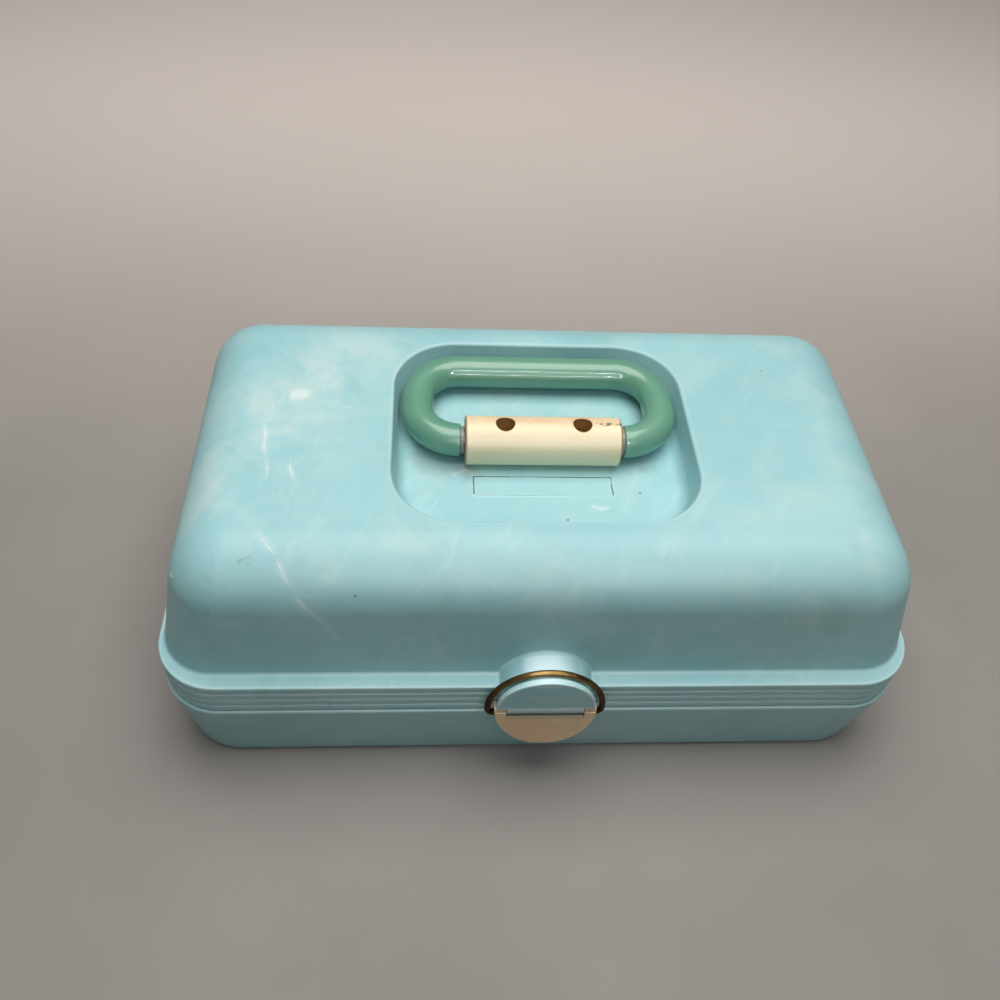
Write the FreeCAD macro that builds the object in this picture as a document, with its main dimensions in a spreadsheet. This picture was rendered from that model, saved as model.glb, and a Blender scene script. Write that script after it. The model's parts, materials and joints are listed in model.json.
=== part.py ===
import FreeCAD, Part
import os
import re

import Sketcher

# Makeup case: a moulded base and a domed lid with a swing handle in a well, a wire latch in front,
# a mirror in the lid and two trays that a linkage swings out as the lid opens.
# The origin is the middle of the underside. +X is to the right, -Y is the front, +Z is up.

# Sizes in millimetres and degrees. Each one can be changed by itself.
SIZES = {
    # whole case
    "case_width": 320.0,
    "case_depth": 187.0,
    "seam_height": 51.2,
    "lid_tall": 65.8,
    "seam_gap": 0.4,
    "wall": 2.6,
    "rim_corner": 26.0,
    "overrun": 2.0,
    "fit_gap": 0.05,
    "open_gap": 0.1,
    "side_gap": 0.4,
    # ribs round both halves of the seam
    "rib_tall": 3.8,
    "rib_groove": 0.8,
    "rib_step": 1.2,
    "rib_round": 0.8,
    # lid shell
    "lid_side_inset": 2.4,
    "lid_side_lean": 11.4,
    "lid_front_inset": 7.0,
    "lid_front_lean": 6.8,
    "lid_corner": 22.5,
    "lid_round": 26.0,
    "lid_cove": 1.5,
    # base shell
    "base_wall_inset": 2.4,
    "base_lean": 1.3,
    "base_corner": 26.0,
    "shoulder_out": 0.7,
    "shoulder_round": 1.2,
    "base_foot_round": 4.5,
    "base_floor": 2.8,
    "base_inner_round": 3.0,
    "tongue_thick": 1.3,
    "tongue_tall": 2.4,
    "tongue_gap": 0.5,
    # hinge at the back
    "hinge_out": 4.8,
    "hinge_station": 92.0,
    "hinge_knuckle_radius": 4.4,
    "hinge_knuckle_long": 14.0,
    "hinge_pin_radius": 1.6,
    # handle well in the top of the lid
    "well_side_gap": 3.3,
    "well_back_gap": 5.6,
    "well_front_run": 50.6,
    "well_corner": 29.0,
    "well_deep": 15.0,
    "well_lean": 3.0,
    "well_floor_round": 6.0,
    "well_lip": 1.4,
    "panel_long": 60.0,
    "panel_tall": 11.5,
    "panel_ahead": 18.4,
    "panel_line": 0.6,
    "panel_deep": 0.25,
    # handle bar and its fasteners
    "bar_radius": 10.5,
    "bar_long": 67.0,
    "bar_ahead": 2.4,
    "bar_seat": 9.0,
    "bar_edge": 0.9,
    "bar_hole_radius": 4.3,
    "bar_hole_deep": 9.0,
    "bar_hole_space": 33.0,
    "screw_head_radius": 3.9,
    "screw_head_tall": 2.6,
    "screw_radius": 2.0,
    "screw_slot": 1.0,
    "screw_slot_deep": 1.2,
    "screw_tip": 1.0,
    "washer_radius": 4.8,
    "washer_thick": 1.0,
    "nut_corner_radius": 4.05,
    "nut_tall": 3.2,
    # handle loop
    "loop_tube": 7.1,
    "loop_half": 53.9,
    "loop_reach": 44.3,
    "loop_neck": 1.8,
    "loop_neck_radius": 6.0,
    "loop_spigot_radius": 4.6,
    "loop_spigot_long": 11.0,
    "loop_end_round": 0.8,
    # latch
    "latch_rise": 2.0,
    "catch_radius": 20.6,
    "catch_neck_radius": 19.4,
    "catch_groove": 4.2,
    "catch_thick": 2.6,
    "catch_lift": 0.8,
    "catch_edge": 0.5,
    "hood_radius": 20.2,
    "hood_blend": 1.2,
    "latch_pivot_out": 4.4,
    "latch_pivot_drop": 2.5,
    "latch_knuckle_radius": 2.2,
    "latch_knuckle_wide": 31.8,
    "latch_pin_radius": 0.9,
    "lever_radius": 21.2,
    "lever_lean": 11.3,
    "lever_front": 2.6,
    "lever_thick": 2.8,
    "lever_drop": 21.0,
    "lever_gap": 0.4,
    "cheek_deep": 3.0,
    "cheek_drop": 7.4,
    "cheek_wide": 6.0,
    "bail_wire": 1.3,
    "bail_half": 23.9,
    "bail_pivot_back": 0.5,
    "bail_pivot_drop": 4.0,
    "bail_back": 2.0,
    "bail_slack": 0.25,
    "bail_bend": 2.8,
    "bail_hook": 6.4,
    # tray linkage, the same on both sides
    "link_reach": 36.0,
    "link_angle": 16.0,
    "link_drop": 11.0,
    "link_wide": 10.0,
    "link_thick": 2.5,
    "link_gap": 2.4,
    "pivot_radius": 2.0,
    "pivot_head_radius": 3.0,
    "pivot_head_thick": 1.3,
    "lid_swing": 95.0,
    "boss_radius": 4.6,
    "boss_bite": 0.9,
    "spacer_radius": 3.6,
    "stop_radius": 2.5,
    "stop_along": 7.0,
    "ear_wide": 9.0,
    "ear_start_back": 6.0,
    "ear_start_drop": 8.0,
    # trays
    "tray_side_gap": 13.7,
    "tray_front_gap": 9.2,
    "front_pivot_in": 27.1,
    "rear_pivot_in": 8.9,
    "tray_tall": 24.0,
    "tray_wall": 2.0,
    "tray_floor": 2.0,
    "tray_corner": 8.0,
    "tray_foot_round": 1.5,
    "cell_corner": 3.5,
    "cell_floor_round": 3.0,
    "lower_tray_drop": 23.2,
    "upper_tray_rise": 5.3,
    # mirror
    "mirror_width": 190.0,
    "mirror_depth": 112.0,
    "mirror_thick": 2.0,
    "mirror_corner": 8.0,
    "mirror_gap": 0.3,
    "mirror_clear": 1.6,
    "frame_border": 9.0,
    "frame_thick": 4.0,
    "post_radius": 4.0,
    "post_space": 80.0,
    "mirror_screw_radius": 1.4,
    "mirror_screw_long": 9.0,
    "mirror_screw_head_radius": 2.8,
    "mirror_screw_head_tall": 1.6,
}

# How each tray is shared out: rows from the front, each with its share of the depth and its cells.
UPPER_ROW_SHARES = ((0.42, (0.3, 0.4, 0.3)), (0.58, (0.5, 0.5)))
LOWER_ROW_SHARES = ((0.4, (0.5, 0.5)), (0.6, (0.5, 0.5)))

doc = FreeCAD.newDocument("makeup_case")
sheet = doc.addObject("Spreadsheet::Sheet", "sizes")
for row, (word, size) in enumerate(SIZES.items(), 1):
    sheet.set(f"A{row}", word)
    sheet.set(f"B{row}", str(size))
    sheet.setAlias(f"B{row}", word)
doc.recompute()

X_AXIS = FreeCAD.Vector(1, 0, 0)
Y_AXIS = FreeCAD.Vector(0, 1, 0)
NEAR = 1e-4
SIDES = {"left": -1, "right": 1}

# Places that several pieces share, as sums of the sizes.
HALF_X = "(case_width / 2)"
HALF_Y = "(case_depth / 2)"
CASE_TOP = "(seam_height + lid_tall)"
LID_LOW = "(seam_height + seam_gap / 2)"
LID_RIM_TOP = f"({LID_LOW} + 2 * rib_tall + rib_groove)"
BASE_TOP = "(seam_height - seam_gap / 2)"
BASE_RIM_LOW = f"({BASE_TOP} - 2 * rib_tall - rib_groove)"
HINGE_Y = f"({HALF_Y} + hinge_out)"
HINGE_Z = "seam_height"
WELL_FLOOR = f"({CASE_TOP} - well_deep)"
BAR_Y = "(-bar_ahead)"
BAR_Z = f"({WELL_FLOOR} + bar_seat)"
BAR_SEAT_Z = f"({BAR_Z} + bar_radius - bar_hole_deep)"
WASHER_LOW = f"({WELL_FLOOR} - wall - washer_thick)"
NUT_LOW = f"({WASHER_LOW} - nut_tall)"
WELL_BACK = f"({BAR_Y} + loop_reach + loop_tube + well_back_gap)"
WELL_FRONT = f"({BAR_Y} - well_front_run)"
WELL_Y = f"(({WELL_BACK} + {WELL_FRONT}) / 2)"
MIRROR_LOW = f"({NUT_LOW} - screw_tip - mirror_clear - frame_thick)"
FRONT = f"(-{HALF_Y})"
LATCH_Y = f"({FRONT} - latch_pivot_out)"
LATCH_MID = "(seam_height + latch_rise)"
LATCH_Z = f"({LATCH_MID} - latch_pivot_drop)"
BAIL_Y = f"({LATCH_Y} + bail_pivot_back)"
BAIL_Z = f"({LATCH_Z} - bail_pivot_drop)"
CROWN_Y = f"({FRONT} - bail_back)"
CROWN_Z = f"({LATCH_MID} + catch_neck_radius + bail_slack + bail_wire)"
REACH = {"lower": "link_reach", "upper": "(2 * link_reach)"}
RISE = {tray: f"{reach} * sin(link_angle)" for tray, reach in REACH.items()}
RUN = {tray: f"{reach} * cos(link_angle)" for tray, reach in REACH.items()}
LID_PIVOT = {tray: (f"({HINGE_Y} - {RUN[tray]})", f"({HINGE_Z} + {RISE[tray]})") for tray in REACH}
TRAY_LOW = {"lower": "(seam_height - lower_tray_drop)", "upper": "(seam_height + upper_tray_rise)"}
TRAY_HALF = f"({HALF_X} - base_wall_inset - base_lean - wall - tray_side_gap)"
TRAY_FRONT = f"({FRONT} + base_wall_inset + base_lean + wall + tray_front_gap)"
TRAY_REAR = f"({LID_PIVOT['upper'][0]} + rear_pivot_in)"
LINK_IN = f"({TRAY_HALF} + link_gap)"
LINK_OUT = f"({LINK_IN} + link_thick)"
LINK_SPAN = f"({TRAY_REAR} - rear_pivot_in - {TRAY_FRONT} - front_pivot_in)"
GROUND_Y = f"({HINGE_Y} - {LINK_SPAN})"
GROUND_Z = f"({HINGE_Z} - link_drop)"
LINK_PIVOT = {tray: (f"({GROUND_Y} - {RUN[tray]})", f"({GROUND_Z} + {RISE[tray]})") for tray in REACH}


def linked(text):
    """Point every size named in an expression at its cell in the sheet."""
    return re.sub(r"[a-z_]+", lambda word: f"sizes.{word[0]}" if word[0] in SIZES else word[0], text)


def number(text):
    """Work an expression out, to find edges by where they lie."""
    return float(sheet.evalExpression(linked(text)))


def bind(thing, **lines):
    for name, text in lines.items():
        thing.setExpression(name, linked(text))
    return thing


def place(thing, x="0", y="0", z="0"):
    for axis, text in zip("xyz", (x, y, z)):
        thing.setExpression(f".Placement.Base.{axis}", linked(text))
    return thing


def turn(thing, axis, angle):
    """Turn a piece by a size in degrees, about an axis through its own origin."""
    thing.Placement = FreeCAD.Placement(thing.Placement.Base, FreeCAD.Rotation(axis, number(angle)))
    thing.setExpression(".Placement.Rotation.Angle", linked(f"{angle} * 1 deg"))
    return thing


def box(name, x, y, z):
    """Plain block between two places on each axis."""
    made = doc.addObject("Part::Box", name)
    bind(made, Length=f"{x[1]} - ({x[0]})", Width=f"{y[1]} - ({y[0]})", Height=f"{z[1]} - ({z[0]})")
    return place(made, x[0], y[0], z[0])


def rod(name, along, radius, low, high, x="0", y="0", z="0"):
    """Round rod along X, Y or Z from one place to another."""
    made = doc.addObject("Part::Cylinder", name)
    bind(made, Radius=radius, Height=f"{high} - ({low})")
    if along == "x":
        made.Placement.Rotation = FreeCAD.Rotation(Y_AXIS, 90)
        return place(made, low, y, z)
    if along == "y":
        made.Placement.Rotation = FreeCAD.Rotation(X_AXIS, -90)
        return place(made, x, low, z)
    return place(made, x, y, low)


def ring_bend(name, bend, tube, sweep, rotation, x="0", y="0", z="0"):
    """Part of a round ring, swept from its own +X towards its own +Y."""
    made = doc.addObject("Part::Torus", name)
    bind(made, Radius1=bend, Radius2=tube)
    made.Angle3 = sweep
    made.Placement.Rotation = rotation
    return place(made, x, y, z)


def join(name, *pieces):
    made = doc.addObject("Part::MultiFuse", name)
    made.Shapes = list(pieces)
    made.Refine = True
    return made


def cut(name, whole, *tools):
    made = doc.addObject("Part::Cut", name)
    made.Base = whole
    made.Tool = tools[0] if len(tools) == 1 else join(f"{name}_tools", *tools)
    made.Refine = True
    return made


def common(name, one, other):
    made = doc.addObject("Part::Common", name)
    made.Base = one
    made.Tool = other
    return made


def edge_names(shape, test):
    return [f"Edge{spot}" for spot, edge in enumerate(shape.Edges, 1) if test(edge.BoundBox)]


def round_edges(body, feature, radius, test):
    """Fillet the edges of a body that pass a test on their boxes."""
    doc.recompute()
    made = body.newObject("PartDesign::Fillet", f"{feature.Name}_round")
    made.Base = (feature, edge_names(feature.Shape, test))
    bind(made, Radius=radius)
    return made


def soften(name, whole, radius, test):
    """Fillet the edges of a finished solid that pass a test."""
    doc.recompute()
    made = doc.addObject("Part::Fillet", name)
    made.Base = whole
    size = number(radius)
    made.Edges = [(spot, size, size) for spot, edge in enumerate(whole.Shape.Edges, 1) if test(edge)]
    return made


def upright(edge_box):
    return edge_box.ZLength > NEAR


def at_height(text):
    height = number(text)
    return lambda edge_box: abs(edge_box.ZMin - height) < NEAR and abs(edge_box.ZMax - height) < NEAR


def sunk_block(name, half_x, half_y, radius, low, high, x="0", y="0", floor_round=None):
    """Block with rounded corners about a middle, and a rounded lower edge where asked for."""
    body = doc.addObject("PartDesign::Body", name)
    block = body.newObject("PartDesign::AdditiveBox", f"{name}_block")
    bind(block, Length=f"2 * {half_x}", Width=f"2 * {half_y}", Height=f"{high} - ({low})")
    place(block, f"{x} - {half_x}", f"{y} - {half_y}", low)
    last = round_edges(body, block, radius, upright)
    if floor_round:
        round_edges(body, last, floor_round, at_height(low))
    return body


def leaning_wedge(name, low, high, low_half, high_half, y="0"):
    """Plain block with four leaning sides, as the first feature of a new body."""
    body = doc.addObject("PartDesign::Body", name)
    block = body.newObject("PartDesign::AdditiveWedge", f"{name}_block")
    bind(block, Ymin="0", Ymax=f"{high} - ({low})",
         Xmin=f"-({low_half[0]})", Xmax=low_half[0], Zmin=f"-({low_half[1]})", Zmax=low_half[1],
         X2min=f"-({high_half[0]})", X2max=high_half[0], Z2min=f"-({high_half[1]})", Z2max=high_half[1])
    block.Placement.Rotation = FreeCAD.Rotation(X_AXIS, 90)
    place(block, "0", y, low)
    doc.recompute()
    return body, block


def leaning_block(name, low, high, low_half, high_half, radius, floor_round, y="0"):
    """Block with leaning sides, rounded corners and a rounded lower edge."""
    body, block = leaning_wedge(name, low, high, low_half, high_half, y)
    cornered = round_edges(body, block, radius, upright)
    round_edges(body, cornered, floor_round, at_height(low))
    return body


def domed_block(name, low, high, low_half, high_half, corner, top_round):
    """Block with leaning sides whose corners and top edge are rounded together, each by its own radius."""
    body, _ = leaning_wedge(f"{name}_plain", low, high, low_half, high_half)
    made = doc.addObject("Part::Fillet", name)
    made.Base = body
    at_top = at_height(high)
    radii = []
    for spot, edge in enumerate(body.Shape.Edges, 1):
        if upright(edge.BoundBox) or at_top(edge.BoundBox):
            radius = number(top_round if at_top(edge.BoundBox) else corner)
            radii.append((spot, radius, radius))
    made.Edges = radii
    return made


def outline_pad(name, plane, points, thick):
    """Flat piece from a closed outline on one of its own planes, each corner held by two sizes."""
    body = doc.addObject("PartDesign::Body", name)
    sketch = body.newObject("Sketcher::SketchObject", f"{name}_outline")
    ground = next(one for one in body.Origin.OriginFeatures if one.Role == plane)
    sketch.AttachmentSupport = [(ground, "")]
    sketch.MapMode = "FlatFace"
    corners = [FreeCAD.Vector(number(across), number(up), 0) for across, up in points]
    for spot, corner in enumerate(corners):
        sketch.addGeometry(Part.LineSegment(corner, corners[(spot + 1) % len(corners)]))
    for spot, (across, up) in enumerate(points):
        sketch.addConstraint(Sketcher.Constraint("Coincident", spot, 2, (spot + 1) % len(corners), 1))
        for kind, text, size in (("DistanceX", across, corners[spot].x), ("DistanceY", up, corners[spot].y)):
            held = sketch.addConstraint(Sketcher.Constraint(kind, -1, 1, spot, 1, size))
            sketch.setExpression(f"Constraints[{held}]", linked(text))
    pad = body.newObject("PartDesign::Pad", f"{name}_pad")
    pad.Profile = sketch
    bind(pad, Length=thick)
    return body


def mirrored(side, near, far):
    """Two places along X, given for the right side, put in order for either side."""
    return (near, far) if side == "right" else (f"-{far}", f"-{near}")


finished = []


def node(name, shape):
    """Name a finished piece, which is then checked and written out."""
    shape.Label = name
    finished.append(shape)
    return shape


def rim_ribs(name, low):
    """Two ribs with a groove between them, as solid blocks over the full plan of the case."""
    parts = []
    first_top = f"({low} + rib_tall)"
    second_low = f"({first_top} + rib_groove)"
    for label, bottom in (("first", low), ("second", second_low)):
        rib = sunk_block(f"{name}_{label}", HALF_X, HALF_Y, "rim_corner", bottom, f"({bottom} + rib_tall)")
        doc.recompute()
        round_edges(rib, rib.Tip, "rib_round", lambda edge: not upright(edge))
        parts.append(rib)
    core = sunk_block(f"{name}_core", f"({HALF_X} - rib_step)", f"({HALF_Y} - rib_step)",
                      "rim_corner - rib_step", f"({low} + rib_tall / 2)", f"({second_low} + rib_tall / 2)")
    return join(name, *parts, core)


def shrink(half, *insets):
    return tuple(f"({side} - {' - '.join(insets)})" for side in half)


CASE_HALF = (HALF_X, HALF_Y)
LID_FOOT = (f"({HALF_X} - lid_side_inset)", f"({HALF_Y} - lid_front_inset)")
LID_TOP = (f"({LID_FOOT[0]} - lid_side_lean)", f"({LID_FOOT[1]} - lid_front_lean)")
LID_IN_FOOT = shrink(LID_FOOT, "wall")
LID_IN_TOP = shrink(LID_TOP, "wall")
BASE_FOOT = shrink(CASE_HALF, "base_wall_inset", "base_lean")
BASE_HEAD = tuple(f"({half} + shoulder_out)" for half in CASE_HALF)
BASE_IN_FOOT = shrink(CASE_HALF, "base_wall_inset", "base_lean", "wall")
BASE_IN_HEAD = shrink(CASE_HALF, "base_wall_inset", "wall")
TONGUE = tuple(f"({half} + tongue_thick)" for half in BASE_IN_HEAD)
REBATE = tuple(f"({half} + tongue_gap)" for half in TONGUE)
WELL_TOP = ("(loop_half + loop_tube + well_side_gap)", f"(({WELL_BACK} - {WELL_FRONT}) / 2)")
WELL_FOOT = shrink(WELL_TOP, "well_lean")
# The rounding of the lid is held back where the lid is too shallow for it beside the well.
LID_SLOPE = f"atan(lid_front_lean / ({CASE_TOP} - {LID_RIM_TOP}))"
LID_SHOULDER = f"({LID_TOP[1]} - {WELL_BACK} - well_lip)"
LID_ROUND = f"min(lid_round; {LID_SHOULDER} / tan(45 deg - {LID_SLOPE} / 2))"
LID_COVE = "min(lid_cove; lid_side_inset - rib_round - fit_gap)"


def hinge_knuckle(name, low, high, owner):
    """Hinge knuckle with a web that joins it to its own half of the case."""
    barrel = rod(f"{name}_barrel", "x", "hinge_knuckle_radius", low, high, y=HINGE_Y, z=HINGE_Z)
    web_y = (f"{HALF_Y} - rib_step - overrun", HINGE_Y)
    if owner == "lid":
        web_z = (f"{LID_LOW} + side_gap", f"{HINGE_Z} + hinge_knuckle_radius")
    else:
        web_z = (f"{HINGE_Z} - hinge_knuckle_radius", f"{BASE_TOP} - side_gap")
    return join(name, barrel, box(f"{name}_web", (low, high), web_y, web_z))


def hinge_spans(side):
    """Places along X of one hinge: first base knuckle, lid knuckle, second base knuckle."""
    middle = f"({SIDES[side]} * hinge_station)"
    half = "hinge_knuckle_long / 2"
    gap = "side_gap"
    return ((f"({middle} - 3 * {half} - {gap})", f"({middle} - {half} - {gap})"),
            (f"({middle} - {half})", f"({middle} + {half})"),
            (f"({middle} + {half} + {gap})", f"({middle} + 3 * {half} + {gap})"))


def lid_inner_half(height):
    """Half the inside width of the lid at a height."""
    return f"({LID_IN_FOOT[0]} - lid_side_lean * ({height} - {LID_LOW}) / ({CASE_TOP} - wall - {LID_LOW}))"


def half_round(name, radius, front, back, low):
    """Upper half of a disc on the front of the case, about the middle of the latch."""
    disc = rod(f"{name}_disc", "y", radius, front, back, z=LATCH_MID)
    keep = box(f"{name}_keep", (f"-{radius} - overrun", f"{radius} + overrun"),
               (f"{front} - overrun", f"{back} + overrun"), (low, f"{LATCH_MID} + {radius} + overrun"))
    return common(name, disc, keep)


def make_lid():
    ribs = rim_ribs("lid_ribs", LID_LOW)
    dome = domed_block("lid_dome", LID_RIM_TOP, CASE_TOP, LID_FOOT, LID_TOP, "lid_corner", LID_ROUND)
    shell = join("lid_solid", ribs, dome)
    rim_top = number(LID_RIM_TOP)

    def under_dome(edge):
        faces = shell.Shape.ancestorsOfType(edge, Part.Face)
        flat = at_height(LID_RIM_TOP)(edge.BoundBox)
        return flat and max(face.BoundBox.ZMax for face in faces) > rim_top + NEAR

    shell = soften("lid_coved", shell, LID_COVE, under_dome)
    hood = half_round("lid_hood", "hood_radius", FRONT, f"-({LID_TOP[1]})", LID_LOW)
    shell = join("lid_hooded", shell, hood)
    doc.recompute()
    hood_size = number("hood_radius")
    front = number(FRONT)

    def round_hood(edge):
        faces = shell.Shape.ancestorsOfType(edge, Part.Face)
        on_hood = any(abs(getattr(face.Surface, "Radius", 0) - hood_size) < NEAR for face in faces)
        spot = edge.BoundBox
        return on_hood and spot.YMin > front + NEAR and spot.ZMax > rim_top + NEAR

    shell = soften("lid_blended", shell, "hood_blend", round_hood)
    well = leaning_block("lid_well", WELL_FLOOR, CASE_TOP, WELL_FOOT, WELL_TOP, "well_corner",
                         floor_round="well_floor_round", y=WELL_Y)
    shell = cut("lid_welled", shell, well)
    well_x = number(WELL_TOP[0]) + NEAR

    def round_well(edge):
        spot = edge.BoundBox
        return at_height(CASE_TOP)(spot) and max(abs(spot.XMin), abs(spot.XMax)) < well_x

    shell = soften("lid_lipped", shell, "well_lip", round_well)
    under_well = leaning_block("lid_under_well", f"({WELL_FLOOR} - wall)", CASE_TOP,
                               tuple(f"({half} + wall)" for half in WELL_FOOT),
                               tuple(f"({half} + wall)" for half in WELL_TOP), "(well_corner + wall)",
                               floor_round="(well_floor_round + wall / 2)", y=WELL_Y)
    hollow = domed_block("lid_hollow", f"({LID_LOW} - overrun)", f"({CASE_TOP} - wall)",
                         LID_IN_FOOT, LID_IN_TOP, "(lid_corner - wall)", f"({LID_ROUND} - wall)")
    rebate = sunk_block("lid_rebate", *REBATE, "(base_corner - wall + tongue_thick + tongue_gap)",
                        f"({LID_LOW} - overrun)", f"({LID_RIM_TOP} - wall)")
    hollow = cut("lid_hollow_round_well", hollow, under_well)
    shell = cut("lid_opened", shell, join("lid_space", hollow, rebate))
    panel_y = (f"{BAR_Y} - panel_ahead - panel_tall / 2", f"{BAR_Y} - panel_ahead + panel_tall / 2")
    panel_z = (f"{WELL_FLOOR} - panel_deep", f"{WELL_FLOOR} + overrun")
    panel = cut("lid_panel_line",
                box("lid_panel_outer", ("-panel_long / 2", "panel_long / 2"), panel_y, panel_z),
                box("lid_panel_inner", ("-panel_long / 2 + panel_line", "panel_long / 2 - panel_line"),
                    (f"{panel_y[0]} + panel_line", f"{panel_y[1]} - panel_line"), panel_z))
    catch_front = f"{FRONT} - catch_groove - catch_thick"
    catch_low = f"{LATCH_MID} + catch_lift"
    added = [
        half_round("catch_neck", "catch_neck_radius", f"{FRONT} - catch_groove - catch_thick / 2",
                   f"{FRONT} + rib_step", catch_low),
        soften("catch_face_eased", half_round("catch_face", "catch_radius", catch_front,
                                              f"{FRONT} - catch_groove", catch_low),
               "catch_edge", lambda edge: edge.Curve.TypeId == "Part::GeomCircle"),
    ]
    holes = [panel]
    for side in SIDES:
        _, middle, _ = hinge_spans(side)
        added.append(hinge_knuckle(f"lid_knuckle_{side}", *middle, "lid"))
        holes.append(rod(f"lid_hinge_bore_{side}", "x", "hinge_pin_radius + fit_gap",
                         f"{middle[0]} - overrun", f"{middle[1]} + overrun", y=HINGE_Y, z=HINGE_Z))
        holes.append(rod(f"lid_screw_hole_{side}", "z", "screw_radius + open_gap", f"{WELL_FLOOR} - 2 * wall",
                         f"{WELL_FLOOR} + overrun", x=f"{SIDES[side]} * bar_hole_space / 2", y=BAR_Y))
        for tray, (pivot_y, pivot_z) in LID_PIVOT.items():
            root = f"({lid_inner_half(f'({pivot_z} - boss_radius)')} + boss_bite)"
            face = f"({TRAY_HALF} + side_gap)"
            added.append(rod(f"lid_boss_{tray}_{side}", "x", "boss_radius", *mirrored(side, face, root),
                             y=pivot_y, z=pivot_z))
            bore_end = f"({lid_inner_half(pivot_z)} - boss_bite)"
            holes.append(rod(f"lid_boss_bore_{tray}_{side}", "x", "pivot_radius + fit_gap",
                             *mirrored(side, f"({face} - overrun)", bore_end), y=pivot_y, z=pivot_z))
        for end in (-1, 1):
            post_x = f"{SIDES[side]} * (mirror_width / 2 + frame_border / 2)"
            post_y = f"{end} * post_space / 2"
            post_low = f"({MIRROR_LOW} + frame_thick)"
            added.append(rod(f"lid_post_{side}_{end + 1}", "z", "post_radius", post_low,
                             f"{CASE_TOP} - wall / 2", x=post_x, y=post_y))
            holes.append(rod(f"lid_post_bore_{side}_{end + 1}", "z", "mirror_screw_radius + fit_gap",
                             f"{post_low} - overrun", f"{MIRROR_LOW} + mirror_screw_long + overrun",
                             x=post_x, y=post_y))
    shell = join("lid_with_fittings", shell, *added)
    node("lid_shell", cut("lid_done", shell, *holes))


def make_base():
    ribs = rim_ribs("base_ribs", BASE_RIM_LOW)
    shoulder = f"({BASE_RIM_LOW} - rib_groove)"
    tub = leaning_block("base_tub", "0", shoulder, BASE_FOOT, BASE_HEAD, "base_corner",
                        floor_round="base_foot_round")
    doc.recompute()
    round_edges(tub, tub.Tip, "shoulder_round", at_height(shoulder))
    core = sunk_block("base_core", f"({HALF_X} - rib_step)", f"({HALF_Y} - rib_step)", "rim_corner - rib_step",
                      f"({shoulder} - rib_tall)", f"({BASE_RIM_LOW} + rib_tall / 2)")
    tongue_top = f"({BASE_TOP} + tongue_tall)"
    tongue = sunk_block("base_tongue", *TONGUE, "(base_corner - wall + tongue_thick)",
                        f"({BASE_TOP} - rib_tall)", tongue_top)
    inside = leaning_block("base_inside", "base_floor", f"({tongue_top} + overrun)", BASE_IN_FOOT,
                           BASE_IN_HEAD, "(base_corner - wall)", floor_round="base_inner_round")
    shell = cut("base_hollowed", join("base_solid", ribs, tub, core, tongue), inside)
    half_wide = "latch_knuckle_wide / 2"
    knuckle_x = (f"-{half_wide}", half_wide)
    added = [
        rod("latch_knuckle", "x", "latch_knuckle_radius", *knuckle_x, y=LATCH_Y, z=LATCH_Z),
        box("latch_web", knuckle_x, (LATCH_Y, f"{FRONT} + rib_step + wall / 2"),
            (f"{LATCH_Z} - latch_knuckle_radius", f"{BASE_TOP} - side_gap")),
    ]
    holes = [rod("latch_knuckle_bore", "x", "latch_pin_radius + fit_gap", f"-{half_wide} - overrun",
                 f"{half_wide} + overrun", y=LATCH_Y, z=LATCH_Z)]
    open_angle = "(link_angle + lid_swing)"
    aside = "(link_wide / 2 + stop_radius + side_gap)"
    stop_y = f"({GROUND_Y} - stop_along * cos({open_angle}) + {aside} * sin({open_angle}))"
    stop_z = f"({GROUND_Z} + stop_along * sin({open_angle}) + {aside} * cos({open_angle}))"
    root = f"({HALF_X} - base_wall_inset - wall + boss_bite)"
    for side in SIDES:
        first, _, last = hinge_spans(side)
        for label, span in (("first", first), ("last", last)):
            added.append(hinge_knuckle(f"base_knuckle_{side}_{label}", *span, "base"))
        holes.append(rod(f"base_hinge_bore_{side}", "x", "hinge_pin_radius + fit_gap",
                         f"{first[0]} - overrun", f"{last[1]} + overrun", y=HINGE_Y, z=HINGE_Z))
        face = f"({LINK_OUT} + side_gap)"
        added.append(rod(f"link_boss_{side}", "x", "boss_radius", *mirrored(side, face, root),
                         y=GROUND_Y, z=GROUND_Z))
        holes.append(rod(f"link_boss_bore_{side}", "x", "pivot_radius + fit_gap",
                         *mirrored(side, f"({face} - overrun)", f"({root} - boss_bite)"),
                         y=GROUND_Y, z=GROUND_Z))
        added.append(rod(f"link_stop_{side}", "x", "stop_radius", *mirrored(side, LINK_IN, root),
                         y=stop_y, z=stop_z))
    shell = join("base_with_fittings", shell, *added)
    node("base_shell", cut("base_done", shell, *holes))


def make_hinge_pins():
    for side in SIDES:
        first, _, last = hinge_spans(side)
        node(f"hinge_pin_{side}", rod(f"hinge_pin_{side}", "x", "hinge_pin_radius", first[0], last[1],
                                      y=HINGE_Y, z=HINGE_Z))


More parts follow.
